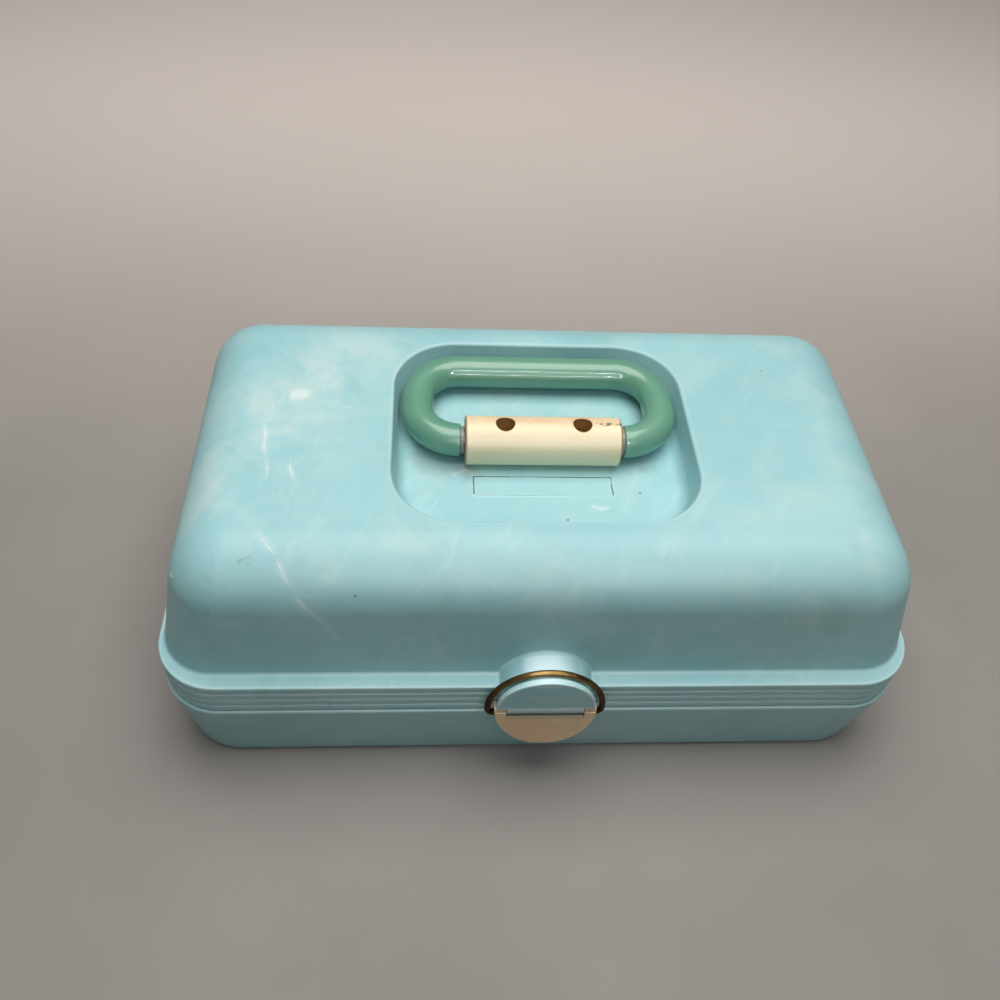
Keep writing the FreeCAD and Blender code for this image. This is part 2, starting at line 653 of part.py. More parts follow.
def make_handle():
    bar = rod("bar_round", "x", "bar_radius", "-bar_long / 2", "bar_long / 2", y=BAR_Y, z=BAR_Z)
    bar = soften("bar_eased", bar, "bar_edge", lambda edge: edge.BoundBox.XLength < NEAR)
    below = box("bar_below", ("-bar_long", "bar_long"),
                (f"{BAR_Y} - 2 * bar_radius", f"{BAR_Y} + 2 * bar_radius"),
                (f"{WELL_FLOOR} - bar_radius", WELL_FLOOR))
    holes = [below]
    screws, washers, nuts = [], [], []
    for side, sign in SIDES.items():
        screw_x = f"({sign} * bar_hole_space / 2)"
        at = {"x": screw_x, "y": BAR_Y}
        under = f"({WELL_FLOOR} - wall)"
        holes.append(rod(f"bar_hole_{side}", "z", "bar_hole_radius", BAR_SEAT_Z,
                         f"{BAR_Z} + 2 * bar_radius", **at))
        holes.append(rod(f"bar_bore_{side}", "z", "screw_radius + open_gap", f"{WELL_FLOOR} - overrun",
                         f"{BAR_SEAT_Z} + overrun", **at))
        socket = ("(bar_long / 2 - loop_spigot_long - side_gap)", "(bar_long / 2 + overrun)")
        holes.append(rod(f"bar_socket_{side}", "x", "loop_spigot_radius + fit_gap",
                         *mirrored(side, *socket), y=BAR_Y, z=BAR_Z))
        head_top = f"({BAR_SEAT_Z} + screw_head_tall)"
        head = rod(f"screw_head_{side}", "z", "screw_head_radius", BAR_SEAT_Z, head_top, **at)
        shank = rod(f"screw_shank_{side}", "z", "screw_radius", f"{NUT_LOW} - screw_tip",
                    f"{BAR_SEAT_Z} + screw_head_tall / 2", **at)
        slot = box(f"screw_slot_{side}",
                   (f"{screw_x} - 2 * screw_head_radius", f"{screw_x} + 2 * screw_head_radius"),
                   (f"{BAR_Y} - screw_slot / 2", f"{BAR_Y} + screw_slot / 2"),
                   (f"{head_top} - screw_slot_deep", f"{head_top} + overrun"))
        screws.append(cut(f"screw_{side}", join(f"screw_blank_{side}", head, shank), slot))
        washer = rod(f"washer_disc_{side}", "z", "washer_radius", WASHER_LOW, under, **at)
        washer_hole = rod(f"washer_hole_{side}", "z", "screw_radius + open_gap", f"{WASHER_LOW} - overrun",
                          f"{under} + overrun", **at)
        washers.append(cut(f"washer_{side}", washer, washer_hole))
        hexagon = doc.addObject("Part::Prism", f"nut_hexagon_{side}")
        hexagon.Polygon = 6
        bind(hexagon, Circumradius="nut_corner_radius", Height="nut_tall")
        place(hexagon, screw_x, BAR_Y, NUT_LOW)
        nut_hole = rod(f"nut_hole_{side}", "z", "screw_radius + fit_gap", f"{NUT_LOW} - overrun",
                       f"{WASHER_LOW} + overrun", **at)
        nuts.append(cut(f"nut_{side}", hexagon, nut_hole))
    node("handle_bar", cut("bar_done", bar, *holes))
    for name, pair in (("handle_screws", screws), ("handle_washers", washers), ("handle_nuts", nuts)):
        group = doc.addObject("Part::Compound", f"{name}_group")
        group.Links = pair
        node(name, group)
    make_loop()


def make_loop():
    """Swing handle: a round tube bent into a flat loop, with a neck and a spigot at each end."""
    end_x = "(bar_long / 2 + loop_neck)"
    bend = f"(loop_half - {end_x})"
    back_y = f"({BAR_Y} + loop_reach)"
    pieces = [rod("loop_back", "x", "loop_tube", f"-{end_x}", end_x, y=back_y, z=BAR_Z)]
    for side, sign in SIDES.items():
        pieces.append(rod(f"loop_side_{side}", "y", "loop_tube", f"{BAR_Y} + {bend}", f"{back_y} - {bend}",
                          x=f"{sign} * loop_half", z=BAR_Z))
        for label, bend_y, start in (("front", f"{BAR_Y} + {bend}", -90 if sign > 0 else 180),
                                     ("back", f"{back_y} - {bend}", 0 if sign > 0 else 90)):
            pieces.append(ring_bend(f"loop_{label}_{side}", bend, "loop_tube", 90,
                                    FreeCAD.Rotation(FreeCAD.Vector(0, 0, 1), start),
                                    x=f"{sign} * {end_x}", y=bend_y, z=BAR_Z))
    tube = join("loop_tube_whole", *pieces)
    halfway = number(f"{BAR_Y} + loop_reach / 2")
    end_place = number(end_x)

    def at_front_end(edge):
        spot = edge.BoundBox
        across = spot.XLength < NEAR and abs(abs(spot.XMin) - end_place) < NEAR
        return across and spot.YMax < halfway

    tube = soften("loop_tube_eased", tube, "loop_end_round", at_front_end)
    ends = []
    for side in SIDES:
        ends.append(rod(f"loop_neck_{side}", "x", "loop_neck_radius",
                        *mirrored(side, "(bar_long / 2 + side_gap)", f"({end_x} + loop_tube / 2)"),
                        y=BAR_Y, z=BAR_Z))
        ends.append(rod(f"loop_spigot_{side}", "x", "loop_spigot_radius",
                        *mirrored(side, "(bar_long / 2 - loop_spigot_long)", f"({end_x} + loop_tube / 2)"),
                        y=BAR_Y, z=BAR_Z))
    node("handle_loop", join("loop_done", tube, *ends))


def make_latch():
    half_wide = "latch_knuckle_wide / 2"
    lean = "tan(lever_lean)"
    bottom = "(lever_drop - latch_pivot_drop)"
    front_top = "(-lever_front)"
    front_low = f"(-lever_front - {bottom} * {lean})"
    plate = outline_pad("lever_plate", "YZ_Plane", [
        (front_top, "0"), (front_low, f"-{bottom}"),
        (f"({front_low} + lever_thick)", f"-{bottom}"), (f"({front_top} + lever_thick)", "0")],
        "(2 * lever_radius)")
    place(plate, "-lever_radius", LATCH_Y, LATCH_Z)
    cheeks = outline_pad("lever_cheeks", "YZ_Plane", [
        (front_top, "0"), (f"(-lever_front - cheek_drop * {lean})", "-cheek_drop"),
        ("cheek_deep", "-cheek_drop"), ("cheek_deep", "0")], "(2 * lever_radius)")
    place(cheeks, "-lever_radius", LATCH_Y, LATCH_Z)
    knuckles = rod("lever_knuckles", "x", "latch_knuckle_radius", "-lever_radius", "lever_radius",
                   y=LATCH_Y, z=LATCH_Z)
    across = "(latch_knuckle_wide / 2 + lever_gap)"
    hollow = box("lever_hollow", (f"-({across} - cheek_wide / 3)", f"{across} - cheek_wide / 3"),
                 (f"{LATCH_Y} - lever_front + lever_thick", f"{LATCH_Y} + 2 * cheek_deep"),
                 (f"{LATCH_Z} - 2 * cheek_drop", f"{LATCH_Z} + 2 * latch_knuckle_radius"))
    cheeks = cut("lever_cheeks_apart", cheeks, hollow)
    blank = join("lever_blank", plate, cheeks, knuckles)
    disc = rod("lever_disc", "y", "lever_radius", f"{LATCH_Y} - 3 * lever_front - lever_drop", f"{FRONT}",
               z=LATCH_MID)
    blank = common("lever_round", blank, disc)
    slot = join("lever_slot",
                rod("lever_slot_round", "x", "latch_knuckle_radius + lever_gap", f"-{across}", across,
                    y=LATCH_Y, z=LATCH_Z),
                box("lever_slot_top", (f"-{across}", across),
                    (f"{LATCH_Y} - 2 * lever_front", f"{LATCH_Y} + 2 * cheek_deep"),
                    (f"{LATCH_Z} - latch_knuckle_radius - lever_gap",
                     f"{LATCH_Z} + 2 * latch_knuckle_radius")))
    bores = [rod("lever_pin_bore", "x", "latch_pin_radius + fit_gap", "-2 * lever_radius", "2 * lever_radius",
                 y=LATCH_Y, z=LATCH_Z)]
    bail_end = "(bail_half - bail_bend - bail_hook - side_gap)"
    for side in SIDES:
        bores.append(rod(f"lever_bail_bore_{side}", "x", "bail_wire + fit_gap",
                         *mirrored(side, bail_end, "(2 * lever_radius)"), y=BAIL_Y, z=BAIL_Z))
    node("latch_lever", cut("lever_done", blank, slot, *bores))
    pin_half = f"({half_wide} + lever_gap + cheek_wide / 2)"
    node("latch_pin", rod("latch_pin", "x", "latch_pin_radius", f"-{pin_half}", pin_half,
                          y=LATCH_Y, z=LATCH_Z))
    make_bail()


def make_bail():
    """Wire bail, built upright on its pivot and then leaned back onto the catch."""
    tall = f"sqrt(({CROWN_Z} - {BAIL_Z}) ^ 2 + ({CROWN_Y} - {BAIL_Y}) ^ 2)"
    arch_z = f"({tall} - bail_half)"
    pieces = [ring_bend("bail_arch", "bail_half", "bail_wire", 180, FreeCAD.Rotation(X_AXIS, 90), z=arch_z)]
    corner_x = "(bail_half - bail_bend)"
    for side, sign in SIDES.items():
        pieces.append(rod(f"bail_leg_{side}", "z", "bail_wire", "bail_bend", arch_z, x=f"{sign} * bail_half"))
        pieces.append(ring_bend(f"bail_corner_{side}", "bail_bend", "bail_wire", 90,
                                FreeCAD.Rotation(X_AXIS, 90).multiply(
                                    FreeCAD.Rotation(FreeCAD.Vector(0, 0, 1), -90 if sign > 0 else 180)),
                                x=f"{sign} * {corner_x}", z="bail_bend"))
        pieces.append(rod(f"bail_hook_{side}", "x", "bail_wire",
                          *mirrored(side, f"({corner_x} - bail_hook)", corner_x)))
    bail = join("bail_done", *pieces)
    turn(bail, FreeCAD.Vector(-1, 0, 0), f"atan(({CROWN_Y} - {BAIL_Y}) / ({CROWN_Z} - {BAIL_Z}))")
    node("latch_bail", place(bail, "0", BAIL_Y, BAIL_Z))


def make_mirror():
    half = ("(mirror_width / 2)", "(mirror_depth / 2)")
    outer = tuple(f"({side} + frame_border)" for side in half)
    frame = sunk_block("frame_plate", *outer, "mirror_corner + frame_border", MIRROR_LOW,
                       f"({MIRROR_LOW} + frame_thick)")
    seat_top = f"({MIRROR_LOW} + mirror_thick + mirror_gap)"
    seat = sunk_block("frame_seat", *tuple(f"({side} + mirror_gap)" for side in half),
                      "mirror_corner + mirror_gap", f"{MIRROR_LOW} - overrun", seat_top)
    glass = sunk_block("glass_plate", *half, "mirror_corner", f"{seat_top} - mirror_thick", seat_top)
    node("mirror_glass", glass)
    holes, screws = [seat], []
    for side, sign in SIDES.items():
        for end in (-1, 1):
            at = {"x": f"{sign} * (mirror_width / 2 + frame_border / 2)", "y": f"{end} * post_space / 2"}
            tag = f"{side}_{end + 1}"
            head_top = f"({MIRROR_LOW} + mirror_screw_head_tall)"
            below = f"{MIRROR_LOW} - overrun"
            holes.append(rod(f"frame_hole_{tag}", "z", "mirror_screw_radius + open_gap", below,
                             f"{MIRROR_LOW} + frame_thick + overrun", **at))
            holes.append(rod(f"frame_head_hole_{tag}", "z", "mirror_screw_head_radius + open_gap", below,
                             head_top, **at))
            head = rod(f"mirror_screw_head_{tag}", "z", "mirror_screw_head_radius",
                       MIRROR_LOW, head_top, **at)
            shank = rod(f"mirror_screw_shank_{tag}", "z", "mirror_screw_radius",
                        f"{MIRROR_LOW} + mirror_screw_head_tall / 2",
                        f"{MIRROR_LOW} + mirror_screw_long", **at)
            screws.append(join(f"mirror_screw_{tag}", head, shank))
    node("mirror_frame", cut("frame_done", frame, *holes))
    group = doc.addObject("Part::Compound", "mirror_screws_group")
    group.Links = screws
    node("mirror_screws", group)


def tray_cells(tray, rows):
    """Hollows of a tray, row by row from the front, with one wall between neighbours."""
    low = TRAY_LOW[tray]
    depth = f"({TRAY_REAR} - {TRAY_FRONT} - tray_wall)"
    width = f"(2 * {TRAY_HALF} - tray_wall)"
    cells = []
    row_start = 0.0
    for row_share, cell_shares in rows:
        start = 0.0
        half_y = f"(({depth} * {row_share} - tray_wall) / 2)"
        middle_y = f"({TRAY_FRONT} + tray_wall / 2 + {depth} * {row_start + row_share / 2})"
        for share in cell_shares:
            half_x = f"(({width} * {share} - tray_wall) / 2)"
            middle_x = f"(-{width} / 2 + {width} * {start + share / 2})"
            cells.append(sunk_block(f"{tray}_cell_{len(cells) + 1}", half_x, half_y, "cell_corner",
                                    f"({low} + tray_floor)", f"({low} + tray_tall + overrun)",
                                    x=middle_x, y=middle_y, floor_round="cell_floor_round"))
            start += share
        row_start += row_share
    return cells


def make_tray(tray, rows):
    low = TRAY_LOW[tray]
    top = f"({low} + tray_tall)"
    middle_y = f"(({TRAY_FRONT} + {TRAY_REAR}) / 2)"
    half_y = f"(({TRAY_REAR} - {TRAY_FRONT}) / 2)"
    block = sunk_block(f"{tray}_tray_block", TRAY_HALF, half_y, "tray_corner", low, top,
                       y=middle_y, floor_round="tray_foot_round")
    hollowed = cut(f"{tray}_tray_hollowed", block, *tray_cells(tray, rows))
    pivot_y, pivot_z = LID_PIVOT[tray]
    front_y, front_z = LINK_PIVOT[tray]
    wall_in = f"({TRAY_HALF} - tray_wall)"
    spacer_face = f"({LINK_IN} - side_gap)"
    added, holes = [], []
    for side in SIDES:
        added.append(rod(f"{tray}_spacer_{side}", "x", "spacer_radius", *mirrored(side, wall_in, spacer_face),
                         y=front_y, z=front_z))
        holes.append(rod(f"{tray}_front_bore_{side}", "x", "pivot_radius + fit_gap",
                         *mirrored(side, f"({wall_in} - overrun)", f"({spacer_face} + overrun)"),
                         y=front_y, z=front_z))
        holes.append(rod(f"{tray}_rear_bore_{side}", "x", "pivot_radius + open_gap",
                         *mirrored(side, f"({wall_in} - overrun)", f"({TRAY_HALF} + overrun)"),
                         y=pivot_y, z=pivot_z))
        if tray == "lower":
            added.extend(tray_ear(side, wall_in, top, pivot_y, pivot_z))
    node(f"{tray}_tray", cut(f"{tray}_tray_done", join(f"{tray}_tray_eared", hollowed, *added), *holes))


def tray_ear(side, wall_in, top, pivot_y, pivot_z):
    """Arm in the plane of the tray's side that reaches back and up to its pivot on the lid."""
    start_y = f"({TRAY_REAR} - ear_start_back)"
    start_z = f"({top} - ear_start_drop)"
    span = mirrored(side, wall_in, TRAY_HALF)
    rise = f"({pivot_z} - {start_z})"
    run = f"({pivot_y} - {start_y})"
    arm = doc.addObject("Part::Box", f"ear_arm_{side}")
    bind(arm, Length="tray_wall", Width=f"sqrt({rise} ^ 2 + {run} ^ 2)", Height="ear_wide")
    angle = f"atan({rise} / {run})"
    turn(arm, X_AXIS, angle)
    place(arm, span[0], f"{start_y} + ear_wide / 2 * sin({angle})",
          f"{start_z} - ear_wide / 2 * cos({angle})")
    return [arm,
            rod(f"ear_end_{side}", "x", "ear_wide / 2", *span, y=pivot_y, z=pivot_z),
            rod(f"ear_root_{side}", "x", "ear_wide / 2", *span, y=start_y, z=start_z)]


def make_links():
    """Two flat links, each with a ground pivot and a pivot for each tray."""
    for side in SIDES:
        inner, outer = mirrored(side, LINK_IN, LINK_OUT)
        body = outline_pad(f"link_bar_{side}", "YZ_Plane", [
            ("0", "(link_wide / 2)"), ("(-2 * link_reach)", "(link_wide / 2)"),
            ("(-2 * link_reach)", "(-link_wide / 2)"), ("0", "(-link_wide / 2)")], "link_thick")
        ends = [rod(f"link_end_{side}_{step}", "x", "link_wide / 2", "0", "link_thick",
                    y=f"-{step} * link_reach") for step in (0, 2)]
        holes = [rod(f"link_hole_{side}_{step}", "x", "pivot_radius + open_gap", "-overrun",
                     "link_thick + overrun", y=f"-{step} * link_reach") for step in (0, 1, 2)]
        link = cut(f"link_done_{side}", join(f"link_blank_{side}", body, *ends), *holes)
        turn(link, FreeCAD.Vector(-1, 0, 0), "link_angle")
        node(f"tray_link_{side}", place(link, inner, GROUND_Y, GROUND_Z))


def pivot_pins(name, shank, head, pivot_y, pivot_z):
    """Pair of headed pins, one for each side, given by their places along X on the right side."""
    pins = []
    for side in SIDES:
        at = {"y": pivot_y, "z": pivot_z}
        stem = rod(f"{name}_stem_{side}", "x", "pivot_radius", *mirrored(side, *shank), **at)
        cap = rod(f"{name}_cap_{side}", "x", "pivot_head_radius", *mirrored(side, *head), **at)
        pins.append(join(f"{name}_pin_{side}", stem, cap))
    group = doc.addObject("Part::Compound", f"{name}_group")
    group.Links = pins
    node(name, group)


def make_pivots():
    """Pins of the tray linkage."""
    base_head = (f"({LINK_IN} - open_gap - pivot_head_thick)", f"({LINK_IN} - open_gap)")
    base_root = f"({HALF_X} - base_wall_inset - wall - open_gap)"
    pivot_pins("base_link_pins", (base_head[0], base_root), base_head, GROUND_Y, GROUND_Z)
    wall_in = f"({TRAY_HALF} - tray_wall)"
    for tray in REACH:
        front_head = (f"({LINK_OUT} + open_gap)", f"({LINK_OUT} + open_gap + pivot_head_thick)")
        pivot_pins(f"{tray}_link_pins", (wall_in, front_head[1]), front_head, *LINK_PIVOT[tray])
        pivot_y, pivot_z = LID_PIVOT[tray]
        rear_head = (f"({wall_in} - open_gap - pivot_head_thick)", f"({wall_in} - open_gap)")
        rear_root = f"({lid_inner_half(pivot_z)} - boss_bite - open_gap)"
        pivot_pins(f"{tray}_lid_pins", (rear_head[0], rear_root), rear_head, pivot_y, pivot_z)


make_base()
make_lid()
make_hinge_pins()
make_handle()
make_latch()
make_mirror()
make_tray("upper", UPPER_ROW_SHARES)
make_tray("lower", LOWER_ROW_SHARES)
make_links()
make_pivots()
doc.recompute()

faults = [thing.Name for thing in doc.Objects if {"Invalid", "Error"} & set(thing.State)]
if faults:
    raise RuntimeError(f"objects that failed: {faults}")
os.makedirs("parts", exist_ok=True)
for piece in finished:
    if piece.Shape.isNull() or not piece.Shape.isValid():
        raise RuntimeError(f"{piece.Label} has no valid shape")
for piece in finished:
    piece.Shape.exportStep(f"parts/{piece.Label}.step")
    print(piece.Label, len(piece.Shape.Solids), round(piece.Shape.Volume, 1))
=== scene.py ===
import json
import math

import bpy
from mathutils import Matrix, Vector


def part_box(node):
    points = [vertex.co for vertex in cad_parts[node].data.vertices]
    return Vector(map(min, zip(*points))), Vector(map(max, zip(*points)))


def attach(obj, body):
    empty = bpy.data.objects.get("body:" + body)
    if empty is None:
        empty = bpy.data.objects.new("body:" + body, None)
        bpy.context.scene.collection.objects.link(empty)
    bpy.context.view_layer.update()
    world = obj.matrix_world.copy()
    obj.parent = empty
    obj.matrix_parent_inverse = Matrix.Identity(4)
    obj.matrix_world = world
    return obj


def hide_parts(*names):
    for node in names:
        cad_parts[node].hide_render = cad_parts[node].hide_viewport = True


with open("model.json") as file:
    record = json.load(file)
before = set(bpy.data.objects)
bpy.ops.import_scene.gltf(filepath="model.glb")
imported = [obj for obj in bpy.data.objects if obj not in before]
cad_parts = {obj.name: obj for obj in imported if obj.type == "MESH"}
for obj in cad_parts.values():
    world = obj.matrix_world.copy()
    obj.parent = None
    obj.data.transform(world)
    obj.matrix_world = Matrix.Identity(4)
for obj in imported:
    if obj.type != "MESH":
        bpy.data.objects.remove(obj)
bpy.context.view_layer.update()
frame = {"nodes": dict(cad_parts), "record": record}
slots = {part["node"]: part["material_slot"] for part in frame["record"]["subparts"]}
bodies = {node: body for body, nodes in frame["record"]["behaviour"]["bodies"].items() for node in nodes}

# Camera solved from the outline of the case, in metres and degrees
CAMERA_AT = Vector((-0.0492, -0.2898, 0.4000))
CAMERA_YAW = 6.63
CAMERA_PITCH = 48.58
CAMERA_ROLL = 5.43
CAMERA_LENS = 34.05
CAMERA_SENSOR = 36.0
PHOTO_SIDE_PIXELS = 1000

# Marks of wear on the lid, and where a highlight is painted on its hood, as pixels of the photograph, right
# and down
LONG_SCRATCH_PIXELS = ((259, 536), (270, 550), (280, 566), (289, 584), (302, 605), (321, 621), (335, 639))
LEFT_SCRATCH_PIXELS = ((266, 428), (264, 448), (268, 462), (267, 478))
SHORT_SCRATCH_PIXELS = ((292, 456), (290, 466), (293, 478))
BLOTCH_PIXELS = ((286, 401), (296, 394), (304, 394))
WHITE_SPECK_PIXELS = ((170, 574), (172, 576))
HAZE_PIXELS = ((250, 470), (300, 400), (345, 372))
FRONT_RUB_PIXELS = ((541, 590), (545, 615), (543, 640))
HOOD_HIGHLIGHT_PIXELS = ((545, 656), (546, 666))
WELL_SCUFF_LEFT_PIXELS = ((452, 474), (466, 470), (474, 475))
WELL_SCUFF_RIGHT_PIXELS = ((594, 507), (602, 509), (613, 508))
WELL_GRIME_LEFT_PIXELS = ((406, 440), (426, 466), (466, 474))
WELL_GRIME_RIGHT_PIXELS = ((640, 472), (668, 460))
SMUDGE_PIXELS = ((240, 562), (251, 559))
SPECK_PIXELS = ((355, 596), (640, 493), (568, 520))

# Reach of those marks in metres: where a mark starts to show, and where it is full
HAZE_REACH = (0.045, 0.0)
FRONT_RUB_REACH = (0.012, 0.0)
HOOD_HIGHLIGHT_REACH = (0.016, 0.003)
SCRATCH_CORE = (0.0006, 0.0002)
SCRATCH_HALO = (0.002, 0.0004)
LONG_SCRATCH_HALO = (0.003, 0.0004)
BLOTCH_REACH = (0.0045, 0.0012)
WHITE_SPECK_REACH = (0.0012, 0.0006)
GRIME_LEFT_REACH = (0.009, 0.0)
GRIME_RIGHT_REACH = (0.007, 0.0)
SMUDGE_REACH = (0.0022, 0.0005)
SPECK_REACH = (0.0007, 0.0003)
STROKE_WAVE = 0.002

# Length, width and depth of one streak of the stretched patterns, in metres
HAIR_SIZE = (0.045, 0.0009, 0.0009)
WIPE_SIZE = (0.05, 0.012, 0.012)
GRAIN_SIZE = (0.003, 0.00012, 0.00012)
SMEAR_SIZE = (0.09, 0.03, 0.03)

# Handle bar, in metres
BAR_RIM = 0.0009
BAR_HOLE_RADIUS = 0.00405
BAR_HOLE_SPACE = 0.033
BAR_HOLE_DEEP = 0.009
BAR_HOLE_EDGE = 0.0003
BAR_BORE_RADIUS = 0.0021
BAR_SOCKET_RADIUS = 0.00465
BAR_SOCKET_DEEP = 0.0114
BAR_SIDES = 160
BAR_SLICES = 44
HOLE_SIDES = 64
BORE_SIDES = 32

# Wear on the bar: where it starts and where it is full, from its ridge, its middle and its ends
BAR_RUB_FRONT = (-0.0012, 0.0015)
BAR_RUB_BACK = (0.0075, 0.0045)
BAR_FLECK_REACH = (0.0016, 0.0004)
BAR_FLECK_FROM = (0.0208, 0.0222)
BAR_END_FROM = 0.0011
BAR_END_FULL = 0.0004

# Neck between the bar and the tube of the handle, and the low part of the tube where shade is painted
NECK_END = (0.0356, 0.0353)
NECK_BACK = (0.007, 0.006)
TUBE_SHADE_LOW = (0.114, 0.105)

# Sunk line of the blank panel in the handle well, with painted shadow along its top and sides and a painted
# highlight along its bottom
PANEL_Y = -0.0208
PANEL_HALF_LONG = 0.0306
PANEL_HALF_TALL = 0.0064
PANEL_LINE_Z = 0.1019
PANEL_LINE_LOW = (0.1010, 0.1012)
PANEL_LINE_FADE = 0.00008
PANEL_EDGE_FADE = 0.0005
PANEL_LIT_EDGE = 0.0056
PANEL_SHADED_EDGE = 0.004

# Slot of the latch lever, where shade is painted, and the knuckle of the base that turns in it, where a
# highlight is painted
SLOT_HALF = 0.0163
SLOT_LOW = 0.0476
SLOT_HIGH = 0.0492
SLOT_SHADE = -0.1004
SLOT_FADE = 0.0003
SLOT_SIDE_FADE = 0.0004
KNUCKLE_FRONT = (-0.0976, -0.0982)
KNUCKLE_LOW = (0.0511, 0.0521)
KNUCKLE_HIGH = (0.0533, 0.0531)

# Top of the hood over the latch, on the front of the lid, where a highlight is painted
HOOD_LOW = (0.0695, 0.0715)
HOOD_HIGH = (0.0741, 0.0737)
HOOD_BACK = (-0.0858, -0.0870)

# Rubbed top of the bail, measured down from its highest point
BAIL_RUB_FROM = 0.02
BAIL_RUB_FULL = 0.001

# Ring of light in front of the case, whose outline shows in the handle
RING_AT = Vector((0.035, -0.33, 0.37))
RING_AIM = Vector((0.0, 0.036, 0.112))
RING_RADIUS = 0.122
RING_BAND = 0.009
RING_STRIPS = 14
RING_POWER = 0.12

# Soft lamps in metres and watts, the low light from all round, and the floor
OVERHEAD_AT = Vector((0.0, 0.12, 1.27))
OVERHEAD_AIM = Vector((0.0, 0.0, 0.1))
OVERHEAD_SIZE = (1.1, 1.0)
OVERHEAD_POWER = 17.0
OVERHEAD_COLOUR = (1.0, 0.985, 0.96)
FRONT_AT = Vector((0.05, -0.55, 0.75))
FRONT_AIM = Vector((0.0, -0.05, 0.08))
FRONT_SIZE = (0.5, 0.4)
FRONT_POWER = 1.1
FRONT_COLOUR = (0.86, 0.97, 1.0)
WORLD_COLOUR = (0.95, 0.95, 0.95, 1.0)
WORLD_STRENGTH = 0.015
FLOOR_SIZE = 6.0
FLOOR_LIGHT_FADE = (0.0, 0.6)


class Wire:
    """A socket of a material's node tree. A sum written on it adds its Math nodes."""

    def __init__(self, tree, socket=None):
        self.tree = tree
        self.socket = socket

    def node(self, kind, settings=None, sockets=None, output=0):
        """Add a node: its settings first, then the values or links of its sockets."""
        made = self.tree.nodes.new(kind)
        for name, value in (settings or {}).items():
            setattr(made, name, value)
        for name, value in (sockets or {}).items():
            if isinstance(value, Wire):
                self.tree.links.new(value.socket, made.inputs[name])
            else:
                made.inputs[name].default_value = value
        return Wire(self.tree, made.outputs[output] if made.outputs else None)

    def math(self, operation, first, second=0.0):
        return self.node("ShaderNodeMath", {"operation": operation}, {0: first, 1: second})

    def __add__(self, other):
        return self.math("ADD", self, other)

    def __sub__(self, other):
        return self.math("SUBTRACT", self, other)

    def __rsub__(self, other):
        return self.math("SUBTRACT", other, self)

    def __mul__(self, other):
        return self.math("MULTIPLY", self, other)

    __radd__ = __add__
    __rmul__ = __mul__

    def __abs__(self):
        return self.math("ABSOLUTE", self)

    def larger(self, other):
        return self.math("MAXIMUM", self, other)

    def smaller(self, other):
        return self.math("MINIMUM", self, other)

    def rise(self, low, high):
        """0 below low, 1 above high, with a smooth step between; falls where low is the higher."""
        return self.node("ShaderNodeMapRange", {"interpolation_type": "SMOOTHSTEP"},
                         {"Value": self, "From Min": low, "From Max": high})

    def axis(self, name):
        return self.node("ShaderNodeSeparateXYZ", None, {0: self}, name)

    def vector(self, operation, other, output=0):
        return self.node("ShaderNodeVectorMath", {"operation": operation}, {0: self, 1: other}, output)

    def noise(self, scale, detail=3.0, rough=0.55, bend=0.0, output=0):
        return self.node("ShaderNodeTexNoise", None, {"Vector": self, "Scale": scale, "Detail": detail,
                                                      "Roughness": rough, "Distortion": bend}, output)

    def sized(self, size, turn=(0.0, 0.0, 0.0)):
        """Coordinates that count in steps of a size, turned."""
        return self.node("ShaderNodeMapping", {"vector_type": "TEXTURE"},
                         {"Vector": self, "Rotation": turn, "Scale": size})

    def mix(self, first, second, factor):
        return self.node("ShaderNodeMix", {"data_type": "RGBA"}, {0: factor, 6: first, 7: second}, output=2)

    def blend(self, colour, factor):
        """This colour, changed to another one by a factor."""
        return self.mix(self, colour, factor)

    def gap_to(self, points):
        """Distance in metres to a line drawn through points."""
        gap = None
        for start, end in zip(points, points[1:]):
            run = end - start
            share = self.vector("SUBTRACT", start).vector("DOT_PRODUCT", run / run.length_squared, "Value")
            foot = self.node("ShaderNodeVectorMath", {"operation": "SCALE"},
                             {0: run, "Scale": share.larger(0.0).smaller(1.0)})
            here = self.vector("DISTANCE", foot.vector("ADD", start), "Value")
            gap = here if gap is None else gap.smaller(here)
        return gap


def linear(red, green, blue):
    """Colour from its everyday 0 to 255 values."""
    def channel(value):
        share = value / 255
        return share / 12.92 if share <= 0.04045 else ((share + 0.055) / 1.055) ** 2.4
    return (channel(red), channel(green), channel(blue), 1.0)


def camera_axes():
    """Right, up and ahead, as the camera has them."""
    yaw, pitch, roll = (math.radians(angle) for angle in (CAMERA_YAW, CAMERA_PITCH, CAMERA_ROLL))
    ahead = Vector((math.sin(yaw) * math.cos(pitch), math.cos(yaw) * math.cos(pitch), -math.sin(pitch)))
    level = Vector((math.cos(yaw), -math.sin(yaw), 0.0))
    upright = level.cross(ahead)
    right = math.cos(roll) * level + math.sin(roll) * upright
    up = math.cos(roll) * upright - math.sin(roll) * level
    return right, up, ahead


def on_lid(pixels):
    """Places on the lid that pixels of the photograph show."""
    right, up, ahead = camera_axes()
    reach = CAMERA_LENS / CAMERA_SENSOR * PHOTO_SIDE_PIXELS
    places = []
    for across, down in pixels:
        ray = ahead + right * (across - PHOTO_SIDE_PIXELS / 2) / reach
        ray = ray - up * (down - PHOTO_SIDE_PIXELS / 2) / reach
        places.append(frame["nodes"]["lid_shell"].ray_cast(CAMERA_AT, ray.normalized())[1])
    return places


def start_finish(name):
    """New material, with its node tree and its coordinates in metres."""
    finish = bpy.data.materials.new(name)
    finish.use_nodes = True
    finish.node_tree.nodes.clear()
    tree = Wire(finish.node_tree)
    return finish, tree, tree.node("ShaderNodeTexCoord", output="Object")


